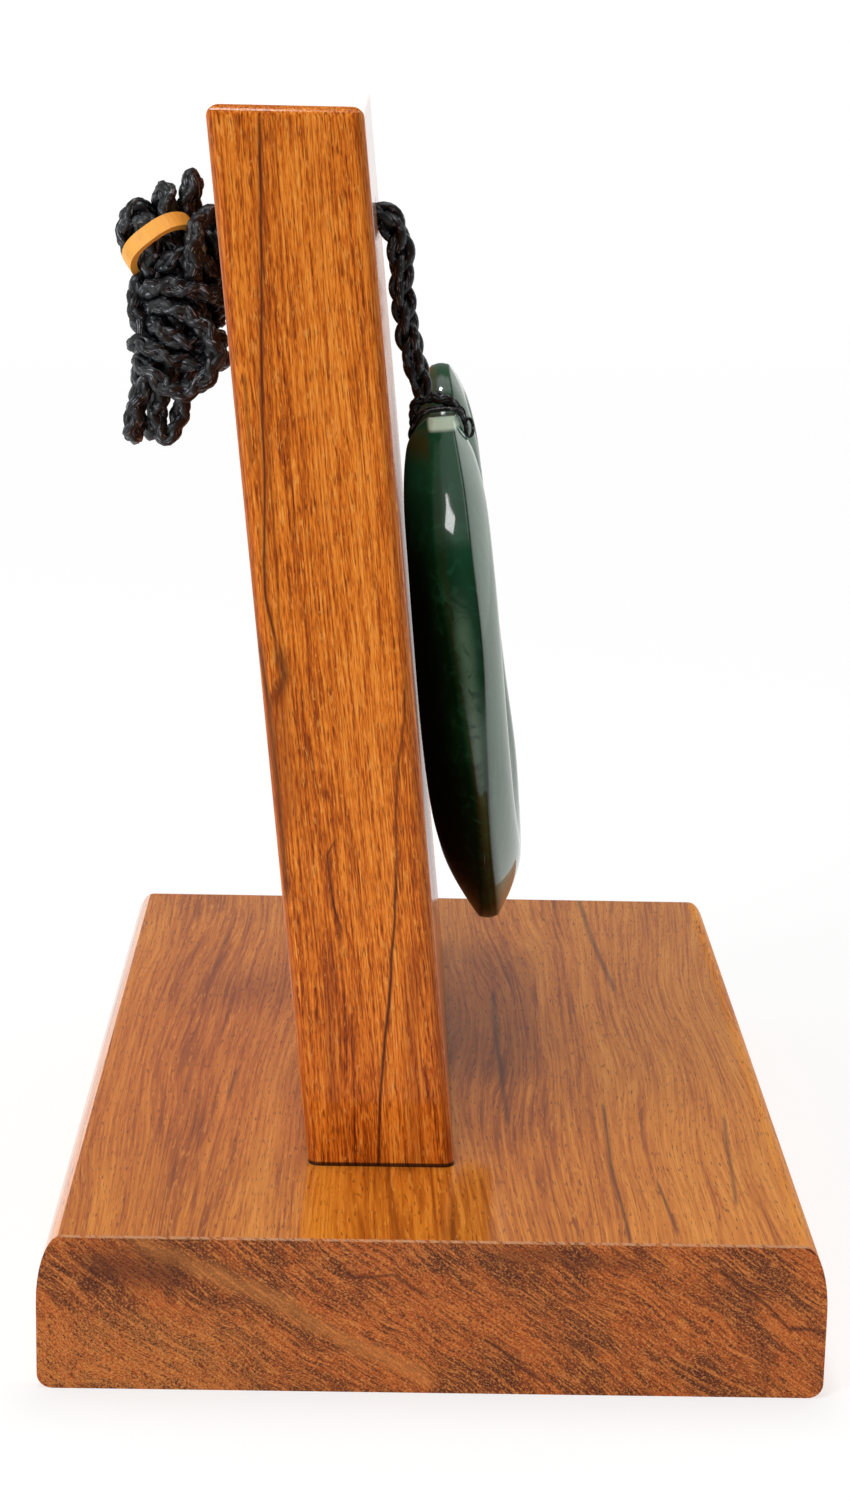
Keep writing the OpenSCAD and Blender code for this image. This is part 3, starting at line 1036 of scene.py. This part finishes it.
    def wrap_line(self) -> np.ndarray:
        """Lays the turns round the hank's middle.

        Returns:
            Their points, each turn from its right end over the front and then round the back.
        """
        places: list[Triple] = []
        for k, (front, back) in enumerate(zip(self.wraps, self.wrap_backs)):
            left, w = front[-1][0] - 0.2, front[-1][2]
            places += front
            places += [(left, y, w * old + back * new) for y, old, new in self.wrap_left]
            places += [(n, y, back) for n, y in self.wrap_behind]
            if k + 1 < len(self.wraps):
                right = self.wraps[k + 1][0][2]
                places += [(n, y, back * old + right * new) for n, y, old, new in self.wrap_right]
        return np.array(places)

    def route(self) -> tuple[np.ndarray, np.ndarray]:
        """Finds the cord's whole route before it settles.

        Returns:
            Its points on the board, and for each one whether it lies outside the rubber band.
        """
        held = (self.right_runs, self.middle_runs, self.left_runs, self.back_runs)
        rows = [(self.hole_run, 1.0), *((run, 0.0) for run in held)]
        rows += [(self.side_run, 1.0), (self.wrap_line(), 1.0), (self.last_run, 1.0)]
        marked = [np.insert(np.asarray(run, float), 3, free * MM, axis=1) for run, free in rows]
        line = smooth_line(np.vstack(marked), self.route_step)
        return line[:, :3], line[:, 3] > 0.5 * MM

    def round_band(self, line: np.ndarray, free: np.ndarray) -> np.ndarray:
        """Keeps the held runs inside the rubber band's ring, and the free ones outside it.

        Args:
            line: the cord's points.
            free: which points lie outside the band.

        Returns:
            The points after the band has pressed on them.
        """
        a, b = math.radians(self.band_slope), math.radians(self.band_tip)
        across = np.array([math.cos(a), 0.0, math.sin(a)])
        run = np.array([-math.sin(a) * math.sin(b), -math.cos(b), math.cos(a) * math.sin(b)])
        rise = np.cross(across, run)
        off = line - np.array([self.band_middle[0], 0.0, self.band_middle[1]])
        high = off @ rise
        near = np.clip(self.band_reach - np.abs(high), 0, 1)
        half = self.plait.body / 2
        outer = self.band_thick + half
        for held, wide, long in (
            (True, self.band_inside[0] - half, self.band_inside[1] - half),
            (False, self.band_inside[0] + outer, self.band_inside[1] + outer),
        ):
            size = np.sqrt((off @ across / wide) ** 2 + (off @ run / long) ** 2)
            wrong = (size > 1) if held else (size < 1)
            move = np.where(wrong & (free != held), 1 / np.maximum(size, 0.2) - 1, 0.0) * near
            flat = off - high[:, None] * rise
            line = line + self.press_share * move[:, None] * flat
        return line

    def settle(self, route: np.ndarray, free: np.ndarray) -> np.ndarray:
        """Lets the runs push each other apart until they lie side by side.

        Args:
            route: the cord's route.
            free: which of its points lie outside the rubber band.

        Returns:
            The route after they have settled.
        """
        line = route.copy()
        ends = line[[0, -1]].copy()
        step = np.linalg.norm(np.diff(line, axis=0), axis=1)
        index = np.arange(len(line))
        apart = np.abs(index[:, None] - index[None, :]) > self.neighbours
        thick = self.plait.body * self.squeeze
        behind = self.board_back - self.plait.body / 2 - self.board_gap
        away = np.minimum(index, index[::-1]) > self.in_hole
        for _ in range(self.rounds):
            gap = line[:, None] - line[None, :]
            far = np.linalg.norm(gap, axis=2)
            push = np.where(apart & (far < thick), (thick - far) / np.maximum(far, 1e-6), 0.0)
            line += self.push_share * (push[:, :, None] * gap).sum(axis=1)
            relax(line, self.smooth_share)
            line += self.return_share * (route - line)
            line = self.round_band(line, free)
            for _ in range(2):
                gaps = np.diff(line, axis=0)
                now = np.linalg.norm(gaps, axis=1)
                fix = gaps * ((now - step) / np.maximum(now, 1e-6) * self.length_share)[:, None]
                line[:-1] += fix
                line[1:] -= fix
            line[away, 0] = np.minimum(line[away, 0], behind)
            line[:, 1] = np.clip(line[:, 1], -self.half_width, self.half_width)
            line[[0, -1]] = ends
        relax(line, 0.5, rounds=3)
        return line

    def build(self, finish: bpy.types.Material) -> bpy.types.Object:
        """Args:
            finish: the cord's material.

        Returns:
            The piece.
        """
        line = smooth_line(self.settle(*self.route()), self.line_step)
        relax(line, 0.5, rounds=8)
        line = FACE.to_world(line)
        maker = MeshMaker()
        for k, strand in enumerate(self.plait.strands(line)):
            maker.tube(strand, self.plait.strand / 2 * MM, 6, shift=7.3 * k)
        made = maker.build("necklace_hank", finish)
        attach(made, "root")
        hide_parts("cord_hank")
        return made


@dataclass
class NeckRope:
    """The cord's two legs laid up together, from the stone through the board's hole."""

    route: Route = (
        (-15.6, 0.0, 94.1), (-12.0, 0.0, 94.1), (-8.0, 0.0, 94.3), (-4.0, 0.0, 94.5), (-1.0, 0.0, 94.6),
        (0.8, 0.0, 94.2), (1.9, 0.0, 92.7), (2.2, 0.0, 90.4), (2.1, 0.0, 87.0), (2.15, 0.0, 84.0),
        (2.35, 0.1, 81.0), (2.6, 0.2, 79.0), (3.0, 0.3, 77.2), (3.3, 0.4, 75.8), (3.5, 0.4, 74.4),
    )
    width: float = 2.9
    plies: int = 3
    strand: float = 1.62
    yarn: float = 0.86
    lay: float = 8.6
    yarn_lay: float = 6.0
    # Places along the rope, from 0 to 1, and how much it swells there
    swell: tuple[Span, ...] = (
        (0.0, 1.0), (0.4, 1.22), (0.55, 1.24), (0.64, 1.06), (0.76, 1.02), (0.88, 1.14), (1.0, 0.9),
    )

    def build(self, finish: bpy.types.Material, riders: Sequence[Any]) -> bpy.types.Object:
        """Args:
            finish: the cord's material.
            riders: the pieces that go with it; not used.

        Returns:
            The piece.
        """
        line = FACE.to_world(smooth_line(self.route, 0.3))
        run = along(line) / MM
        swell = np.interp(run / run[-1], *zip(*self.swell))
        off = (self.strand - self.yarn) / 2 * swell * MM
        maker = MeshMaker()
        for k in range(self.plies):
            angle = 2 * math.pi * (run / self.lay + k / self.plies) + 0.25 * math.sin(2.1 * k)
            reach = (self.width - self.strand) / 2 * swell * (1 + 0.05 * np.sin(run * 0.9 + 2.0 * k)) * MM
            strand = circling(line, angle, reach)
            for m in range(2):
                yarn = circling(strand, -2 * math.pi * run / self.yarn_lay + math.pi * m + k, off)
                maker.tube(yarn, self.yarn / 2 * swell * MM, 8, shift=5.7 * (2 * k + m))
        made = maker.build("neck_rope", finish)
        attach(made, "root")
        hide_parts("neck_cord")
        log.info("neck_rope: %.0f mm of doubled cord", run[-1])
        return made


@dataclass
class Lashing:
    """The thin cord that binds the stone to the rope, through the drilled hole and over the stem."""

    # Distance from the board's face and height of a turn, a closed loop
    loop: tuple[Span, ...] = (
        (3.2, 69.8), (5.0, 69.8), (7.2, 69.8), (7.75, 70.1), (7.8, 70.8), (7.6, 71.5), (7.4, 72.2),
        (7.0, 72.7), (6.4, 72.95), (5.2, 73.0), (4.0, 72.95), (3.2, 72.75), (2.6, 72.2), (2.2, 71.6),
        (1.8, 71.0), (1.6, 70.4), (1.8, 69.95), (2.5, 69.8),
    )
    # The thicker plait over the stem: distance, y and height
    plait_route: Route = (
        (2.0, 0.3, 71.4), (2.1, 0.2, 72.6), (2.5, 0.1, 73.8), (3.4, 0.1, 74.4), (4.6, 0.2, 74.3),
        (5.7, 0.3, 74.0), (6.7, 0.4, 73.3), (7.4, 0.5, 72.4), (7.8, 0.5, 71.4),
    )
    plait: RoundPlait = RoundPlait(width=1.55, strand=0.74, lift=0.11, lay=4.0)
    hole_y: float = 0.4
    thread: float = 0.56
    # How far each turn lies to the side at its foot, and how much further over the stem's top
    turn_shifts: Triple = (-0.5, 0.0, 0.5)
    foot_spread: float = 0.8
    top_spread: float = 0.9
    foot_up: float = 69.8
    loop_rise: float = 3.0
    # The loose loop of thread: middle and half size by distance, y and height, and its radius
    ring_middle: Triple = (8.1, -0.5, 70.8)
    ring_half: Triple = (0.42, 0.3, 0.95)
    ring_thread: float = 0.2

    def build(self, finish: bpy.types.Material) -> bpy.types.Object:
        """Builds the lashing's turns, its plait and the loose loop of thread in front.

        Args:
            finish: the cord's material.

        Returns:
            The piece.
        """
        maker = MeshMaker()
        loop = np.asarray(self.loop, float)
        high = np.clip((loop[:, 1] - self.foot_up) / self.loop_rise, 0, 1)
        for k, shift in enumerate(self.turn_shifts):
            y = self.hole_y + shift * (self.foot_spread + self.top_spread * high)
            turn = smooth_line(np.stack([loop[:, 0], y, loop[:, 1]], axis=1), 0.22, closed=True)
            maker.tube(FACE.to_world(turn), self.thread / 2 * MM, 8, True, 3.1 * k)
        line = FACE.to_world(smooth_line(self.plait_route, 0.2))
        share = along(line) / along(line)[-1]
        thin = np.interp(share, [0.0, 0.3, 0.7, 1.0], [0.6, 1.0, 1.0, 0.5])
        for k, strand in enumerate(self.plait.strands(line)):
            kept = line + (strand - line) * thin[:, None]
            maker.tube(kept, self.plait.strand / 2 * MM * thin, 8, shift=4.3 * k)
        angle = np.linspace(0, 2 * math.pi, 20, endpoint=False)
        round_it = np.stack([np.cos(angle), np.sin(angle), np.sin(angle)], axis=1)
        ring = smooth_line(self.ring_middle + self.ring_half * round_it, 0.15, closed=True)
        maker.tube(FACE.to_world(ring), self.ring_thread * MM, 8, True)
        made = maker.build("stone_lashing", finish)
        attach(made, "root")
        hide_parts("cord_lashing")
        log.info("stone_lashing: three turns, a plait and a loose loop")
        return made


# The stone


@dataclass
class Koru:
    """The carved stone: an arm of changing width that curls from its drilled stem to its eye."""

    # Outer and inner edge (y, height), then back and front of the arm, back and front of its rim
    rows: tuple[tuple[float, ...], ...] = (
        (-2.6, 72.2, 3.0, 72.4, 3.3, 6.3, 3.8, 6.0), (-4.8, 71.0, 2.8, 69.8, 1.2, 7.1, 3.7, 6.1),
        (-7.2, 69.2, 1.6, 66.8, 0.4, 8.1, 3.5, 6.3), (-11.8, 65.4, -2.2, 62.2, 0.0, 8.9, 3.1, 6.7),
        (-17.4, 59.0, -6.6, 56.0, 0.0, 9.2, 3.0, 7.0), (-21.2, 50.0, -9.2, 48.6, 0.0, 9.3, 3.8, 7.3),
        (-21.8, 40.0, -9.4, 40.8, 0.0, 9.3, 4.6, 6.9), (-18.8, 29.0, -7.0, 34.2, 0.3, 9.4, 5.1, 6.5),
        (-11.4, 19.4, -2.8, 30.8, 1.0, 9.7, 4.8, 6.5), (0.0, 15.3, 1.2, 29.8, 1.6, 9.8, 4.4, 6.6),
        (11.0, 18.4, 5.4, 31.0, 1.2, 10.0, 4.5, 6.8), (19.0, 27.4, 9.2, 34.4, 0.6, 10.1, 4.3, 6.8),
        (22.8, 38.6, 11.8, 41.0, 0.4, 9.6, 3.9, 6.8), (23.6, 49.6, 13.2, 49.2, 0.3, 9.2, 3.7, 6.7),
        (23.0, 60.2, 14.6, 58.4, 0.4, 8.8, 3.5, 6.5), (21.0, 68.8, 15.3, 65.2, 0.8, 8.5, 3.5, 6.3),
        (17.6, 74.4, 14.8, 69.0, 1.5, 7.8, 3.7, 6.0), (12.6, 76.5, 12.6, 70.2, 2.2, 7.3, 3.9, 5.9),
        (8.2, 74.9, 10.8, 69.0, 1.7, 7.7, 3.7, 6.0), (5.6, 71.2, 9.8, 66.4, 0.9, 8.3, 3.5, 6.3),
        (3.6, 66.8, 8.8, 62.8, 0.5, 8.7, 3.3, 6.5), (1.0, 61.2, 6.8, 58.8, 0.3, 8.8, 3.2, 6.5),
        (-2.0, 55.6, 5.4, 55.4, 0.3, 8.8, 3.2, 6.5), (-4.4, 50.0, 6.0, 52.6, 0.3, 8.9, 3.2, 6.5),
        (-4.8, 44.8, 8.4, 49.6, 0.3, 8.9, 3.2, 6.5),
    )
    row_steps: int = 10
    eye_steps: int = 16
    eye_turn: float = 84.0
    dome_power: float = 1.5
    dome_points: int = 31
    rim_points: int = 7
    corner_steps: int = 5
    edge: float = 0.22
    side_swell: float = 0.15
    gap: float = 0.15
    turn: float = 1.0
    near_row: int = 5
    crease: float = 32.0
    drill: float = 2.2
    drill_y: float = 0.4
    drill_up: float = 69.8
    drill_run: Span = (-2.0, 12.0)

    def blended(self) -> np.ndarray:
        """Smooths the rows.

        Returns:
            The rows with further ones between them.
        """
        rows = np.asarray(self.rows, float)
        last = len(rows) - 1
        found = []
        for k in range(self.row_steps * last + 1):
            i = min(k // self.row_steps, last - 1)
            t = k / self.row_steps - i
            a, b, c, d = (rows[min(max(i + j, 0), last)] for j in (-1, 0, 1, 2))
            curve = 2 * b + (c - a) * t + (2 * a - 5 * b + 4 * c - d) * t**2
            found.append((curve + (3 * b - 3 * c + d - a) * t**3) / 2)
        return np.array(found)

    def dome(self, rim: float, crest: float, u: np.ndarray) -> np.ndarray:
        """Returns the distance from the board at places across the arm, from -1 to 1."""
        return rim + (crest - rim) * (1 - np.abs(u) ** self.dome_power)

    def section(
        self, half: float, back: float, front: float, rim_back: float, rim_front: float
    ) -> np.ndarray:
        """Draws the arm's section, with domed faces and eased corners.

        Args:
            half: half the arm's width.
            back: distance of the back's crest from the board.
            front: distance of the front's crest.
            rim_back: distance of the rim's back edge.
            rim_front: distance of the rim's front edge.

        Returns:
            Points once round it: place across the arm, and distance from the board.
        """
        ease_u = 1 - min(self.edge / half, 0.3)
        ease_t = min(self.edge, (rim_front - rim_back) * 0.3)
        u = ease_u * np.sin(np.linspace(math.pi / 2, -math.pi / 2, self.dome_points))
        s = np.linspace(0, 1, self.corner_steps + 1)[1:-1, None]
        swell = self.side_swell * (1 - np.linspace(-1, 1, self.rim_points) ** 2)

        def corner(start: np.ndarray, sharp: np.ndarray, end: np.ndarray) -> np.ndarray:
            """Returns the points that ease a sharp corner."""
            return start * (1 - s) ** 2 + sharp * 2 * s * (1 - s) + end * s**2

        points = []
        for rim, crest, far_rim, far_crest, way in (
            (rim_back, back, rim_front, front, 1.0),
            (rim_front, front, rim_back, back, -1.0),
        ):
            side = -way * half
            face = np.stack([u * way * half, self.dome(rim, crest, u)], axis=1)
            begin = np.array([side, rim + way * ease_t])
            end = np.array([side, far_rim - way * ease_t])
            points += [face, corner(face[-1], np.array([side, rim]), begin)]
            rise = np.linspace(begin[1], end[1], self.rim_points)
            points.append(np.stack([side - way * swell, rise], axis=1))
            beyond = np.array([side * ease_u, float(self.dome(far_rim, far_crest, np.array(ease_u)))])
            points.append(corner(end, np.array([side, far_rim]), beyond))
        return np.vstack(points)

    def ring(self, outer: np.ndarray, inner: np.ndarray, depths: np.ndarray) -> np.ndarray:
        """Places the arm's section on the board.

        Args:
            outer: its outer edge, as y and height.
            inner: its inner edge.
            depths: back and front of the arm, then back and front of its rim.

        Returns:
            The section's points.
        """
        middle, reach = (outer + inner) / 2, (outer - inner) / 2
        half = float(np.linalg.norm(reach))
        flat = self.section(half, *depths)
        yw = middle + reach / half * flat[:, :1]
        return np.stack([flat[:, 1], yw[:, 0], yw[:, 1]], axis=1)

    def rings(self) -> np.ndarray:
        """Draws every ring of the arm and of its rounded eye.

        Returns:
            An array of rings by points by three coordinates, on the board.
        """
        rows = self.blended()
        found = [self.ring(r[0:2], r[2:4], r[4:8]) for r in rows]
        last = rows[-1]
        middle, reach = (last[0:2] + last[2:4]) / 2, (last[0:2] - last[2:4]) / 2
        on = np.array([-reach[1], reach[0]])
        rim = (last[6] + last[7]) / 2
        for k in range(1, self.eye_steps + 1):
            a = math.radians(self.eye_turn) * k / self.eye_steps
            p, shrunk = middle + on * math.sin(a), reach * math.cos(a)
            found.append(self.ring(p + shrunk, p - shrunk, rim + (last[4:8] - rim) * math.cos(a)))
        return np.array(found)

    def turned(self, places: Any) -> np.ndarray:
        """Turns places a little about the near arm, which lies against the board.

        Args:
            places: places on the board.

        Returns:
            The turned places.
        """
        p = np.asarray(places, float)
        near = (self.rows[self.near_row][0] + self.rows[self.near_row][2]) / 2
        c, s = math.cos(math.radians(self.turn)), math.sin(math.radians(self.turn))
        n, y = p[..., 0] + self.gap, p[..., 1] - near
        return np.stack([n * c + y * s, near - n * s + y * c, p[..., 2]], axis=-1)

    def drill_hole(self, stone: bpy.types.Object) -> None:
        """Drills the hole for the lashing, with a drill made as a turned cylinder.

        Args:
            stone: the stone.
        """
        start, end = FACE.to_world(self.turned([(n, self.drill_y, self.drill_up) for n in self.drill_run]))
        way = Vector(end - start)
        bpy.ops.object.select_all(action="DESELECT")
        bpy.ops.mesh.primitive_cylinder_add(
            vertices=48,
            radius=self.drill / 2 * MM,
            depth=way.length,
            location=Vector(start) + way / 2,
            rotation=way.to_track_quat("Z", "Y").to_euler(),
        )
        bit = bpy.context.active_object
        apply_modifier(stone, "BOOLEAN", object=bit, operation="DIFFERENCE", solver="EXACT")
        bpy.data.objects.remove(bit)

    def build(self, finish: bpy.types.Material) -> bpy.types.Object:
        """Builds the stone.

        Args:
            finish: the stone's material.

        Returns:
            The piece.
        """
        maker = MeshMaker()
        rings = FACE.to_world(self.turned(self.rings()))
        n, m = rings.shape[:2]
        maker.skin(rings, np.arange(m + 1) / m, np.arange(n) / n)
        made = maker.build("koru_stone", finish)
        self.drill_hole(made)
        alone(made)
        bpy.ops.object.shade_smooth_by_angle(angle=math.radians(self.crease))
        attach(made, "root")
        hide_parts("koru_pendant")
        log.info("koru_stone: %d faces", len(made.data.polygons))
        return made


# The stand and the band, which keep their modelled solids


@dataclass
class Stand:
    """The wooden slab, the board that leans on it and the rubber band, each dressed in its own material."""

    board: VarnishedWood = VarnishedWood(
        "board_wood", Cut.UPRIGHT,
        pale=(0.87, 0.258, 0.025), middle=(0.68, 0.165, 0.013), deep=(0.43, 0.083, 0.005),
        dark=(0.15, 0.022, 0.002), gold=(0.95, 0.41, 0.085), heart=(-60.0, 30.0), ring=2.3, band=0.25,
        coarse=1.0, swing=2.0, gloss=1.0, sheen=0.09,
        veins=(
            Vein(((0.0, -0.5), (107.0, -0.5)), 0.9, 0.45, RED_BROWN),
            Vein(((0.0, -14.7), (107.0, -14.7)), 0.6, 0.55, RED_BROWN),
            Vein(((56.2, -13.1), (61.1, -13.7), (72.6, -12.7), (84.7, -11.8), (99.8, -10.5),
                  (107.0, -10.0)), 0.8, 0.4, RED_BROWN),
            Vein(((56.2, -13.1), (61.1, -13.7), (64.7, -13.5), (72.6, -12.6), (77.4, -12.3), (84.7, -11.8),
                  (91.8, -11.2), (99.8, -10.5), (107.0, -10.0)), 0.24, 0.85, VEIN_BROWN),
            Vein(((58.0, -12.6), (64.6, -12.2), (72.5, -12.0), (76.0, -11.8)), 0.2, 0.5, VEIN_BROWN),
            Vein(((74.0, -13.85), (82.5, -13.65)), 0.35, 0.5, VEIN_BROWN),
            Vein(((50.5, -13.6), (53.0, -12.6), (56.0, -12.9)), 1.1, 0.75, VEIN_BROWN),
            Vein(((38.0, -13.6), (52.0, -13.2)), 1.8, 0.5, RED_BROWN),
            Vein(((30.0, -14.4), (42.0, -14.3), (50.0, -14.4), (57.0, -14.8)), 0.55, 0.75, VEIN_BROWN),
            Vein(((0.0, -8.0), (7.5, -7.1), (12.8, -6.2), (18.1, -5.3), (23.4, -4.6), (27.3, -3.8),
                  (31.0, -3.4)), 0.3, 0.95, VEIN_BROWN),
            Vein(((29.6, -3.4), (38.4, -2.7), (43.5, -2.0), (47.6, -1.1), (51.1, -0.7)), 0.26, 0.65,
                 VEIN_BROWN),
            Vein(((25.4, -9.6), (27.0, -9.5), (29.1, -10.0), (34.4, -10.1), (35.9, -9.1)), 0.26, 0.8,
                 VEIN_BROWN),
            Vein(((7.0, -11.9), (16.0, -11.4), (24.0, -10.7)), 1.2, 0.45, RED_BROWN),
            Vein(((0.0, -4.0), (14.0, -3.2), (24.0, -2.2)), 1.6, 0.35, RED_BROWN),
        ),
    )
    base: VarnishedWood = VarnishedWood(
        "base_wood", Cut.SLAB,
        pale=(0.75, 0.250, 0.024), middle=(0.62, 0.178, 0.014), deep=(0.44, 0.110, 0.008),
        dark=(0.20, 0.043, 0.004), gold=(0.90, 0.36, 0.055), heart=(-70.0, -95.0), ring=1.6, band=0.42,
        coarse=2.3, swing=13.0, gloss=1.0, sheen=0.09,
        veins=(
            Vein(((20.0, 23.0), (40.0, 21.6), (59.0, 21.0)), 0.6, 0.6, VEIN_BROWN),
            Vein(((-26.0, 8.3), (0.0, 8.0), (19.0, 8.3)), 0.5, 0.6, VEIN_BROWN),
            Vein(((-58.0, 19.1), (-40.0, 18.6), (-20.0, 19.0)), 0.4, 0.7, VEIN_BROWN),
            Vein(((-55.0, 23.9), (-42.0, 23.0)), 0.35, 0.7, VEIN_BROWN),
            Vein(((-48.0, 30.4), (-23.0, 31.8)), 0.4, 0.6, VEIN_BROWN),
            Vein(((-20.0, -22.0), (-10.0, -21.4)), 0.5, 0.5, VEIN_BROWN),
        ),
        end_veins=(
            Vein(((4.5, 9.6), (5.2, 6.0), (8.2, 3.2), (11.0, 1.6)), 0.35, 0.8, VEIN_BROWN),
            Vein(((27.8, 13.4), (32.0, 10.4), (35.0, 7.4), (38.4, 6.7)), 0.4, 0.8, VEIN_BROWN),
            Vein(((-8.0, 12.4), (-4.0, 12.2), (0.0, 10.2)), 0.35, 0.7, VEIN_BROWN),
            Vein(((-29.0, 15.4), (-21.5, 12.4), (-15.0, 9.4), (-8.0, 5.2), (0.0, 1.6)), 1.7, 0.45,
                 (0.56, 0.200, 0.046)),
            Vein(((-34.0, 13.0), (-24.0, 12.0)), 3.4, 0.65, (0.06, 0.011, 0.004)),
            Vein(((5.0, 14.8), (20.0, 13.6)), 1.6, 0.45, (0.06, 0.013, 0.005)),
        ),
    )
    rubber: AmberRubber = AmberRubber()

    def dress(self) -> None:
        """Gives each node its material."""
        for node, material in (
            ("stand_board", self.board.material()),
            ("stand_base", self.base.material()),
            ("hank_band", self.rubber.material()),
        ):
            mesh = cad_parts[node].data
            if not mesh.materials:
                mesh.materials.append(material)
            for i in range(len(mesh.materials)):
                mesh.materials[i] = material
            log.info("%s: %s", node, material.name)


# Camera, floor and light


@dataclass
class Studio:
    """The photograph's camera, a plain pale floor and soft light. Sizes are in metres and degrees."""

    eye: Triple = (-0.0063, -0.3284, 0.1310)
    pitch: float = 13.75
    yaw: float = 0.94
    roll: float = 1.21
    sensor_mm: float = 24.0
    lens_mm: float = 48.0
    seen: Span = (0.01, 50.0)
    floor_size: float = 60.0
    # Each light's name, place, aim, size and power
    lamps: tuple = (
        ("key_light", (-0.12, -0.24, 1.08), (0.0, 0.0, 0.05), 0.15, 3.0),
        ("side_light", (-0.95, -0.85, 0.45), (0.0, 0.0, 0.06), 0.6, 9.0),
    )

    def add_camera(self) -> None:
        """Adds the camera at the photograph's place and angle."""
        p, q, r = (math.radians(a) for a in (self.pitch, self.yaw, self.roll))
        look = Vector((math.sin(q) * math.cos(p), math.cos(q) * math.cos(p), -math.sin(p)))
        right = look.cross(Vector((0, 0, 1))).normalized()
        up = right.cross(look)
        right, up = right * math.cos(r) + up * math.sin(r), up * math.cos(r) - right * math.sin(r)
        data = bpy.data.cameras.new("photo_camera")
        data.sensor_fit = "VERTICAL"
        data.sensor_height = self.sensor_mm
        data.lens = self.lens_mm
        data.clip_start, data.clip_end = self.seen
        camera = bpy.data.objects.new("photo_camera", data)
        turn = Matrix((right, up, -look)).transposed().to_4x4()
        camera.matrix_world = Matrix.Translation(Vector(self.eye)) @ turn
        bpy.context.scene.collection.objects.link(camera)
        bpy.context.scene.camera = camera

    def add_floor(self) -> None:
        """Adds the plain pale floor."""
        bpy.ops.object.select_all(action="DESELECT")
        bpy.ops.mesh.primitive_plane_add(size=self.floor_size, location=(0, 0, 0))
        floor = bpy.context.active_object
        floor.name = "studio_floor"
        floor.data.materials.append(PaleFloor().material())

    def add_lamp(self, name: str, place: Triple, aim: Triple, size: float, power: float) -> None:
        """Adds a square soft light.

        Args:
            name: the light's name.
            place: where it stands.
            aim: the point that it faces.
            size: the side of its square.
            power: its power in watts.
        """
        data = bpy.data.lights.new(name, "AREA")
        data.size = size
        data.energy = power
        lamp = bpy.data.objects.new(name, data)
        lamp.location = Vector(place)
        lamp.rotation_euler = (Vector(aim) - Vector(place)).to_track_quat("-Z", "Y").to_euler()
        bpy.context.scene.collection.objects.link(lamp)

    def add_surroundings(self) -> None:
        """Lights the room from its far side, its sides and above, and keeps it dim behind the camera."""
        world = bpy.data.worlds.new("studio")
        bpy.context.scene.world = world
        world.use_nodes = True
        tree = Tree(world.node_tree)
        x, y, z = tree.parts(tree.node("ShaderNodeTexCoord", {}, {}, "Generated"))
        horizon = abs(z).fade(0.06, 0.20) * y.ease(-0.5, 0.2)
        right = x.ease(0.15, 0.6) * y.ease(-0.35, 0.1) * z.fade(0.4, 0.8)
        left = (0.0 - x).ease(0.3, 0.8) * y.ease(-0.35, 0.1)
        above = z.ease(0.88, 0.97)
        level = (horizon * 1.1).at_least(right * 1.15).at_least(left * 0.7).at_least(above * 1.6)
        level = level + 0.12 + y.ease(0.5, 0.9) * 0.13
        glow = tree.node("ShaderNodeBackground", {}, {"Color": (1.0, 1.0, 1.0), "Strength": level})
        tree.node("ShaderNodeOutputWorld", {}, {"Surface": glow})

    def build(self) -> None:
        """Adds the camera, the floor and the lights."""
        self.add_camera()
        self.add_floor()
        self.add_surroundings()
        for lamp in self.lamps:
            self.add_lamp(*lamp)
        bpy.context.scene.view_settings.view_transform = "Standard"


def main() -> None:
    """Builds every piece in order; most of them log a line."""
    logging.basicConfig(level=logging.INFO, format="%(message)s")
    Studio().build()
    cord = WaxedCord().material()
    Necklace().build(cord)
    lashing = Lashing().build(cord)
    NeckRope().build(cord, [lashing])
    Koru().build(Greenstone().material())
    Stand().dress()


if __name__ == "__main__":
    main()
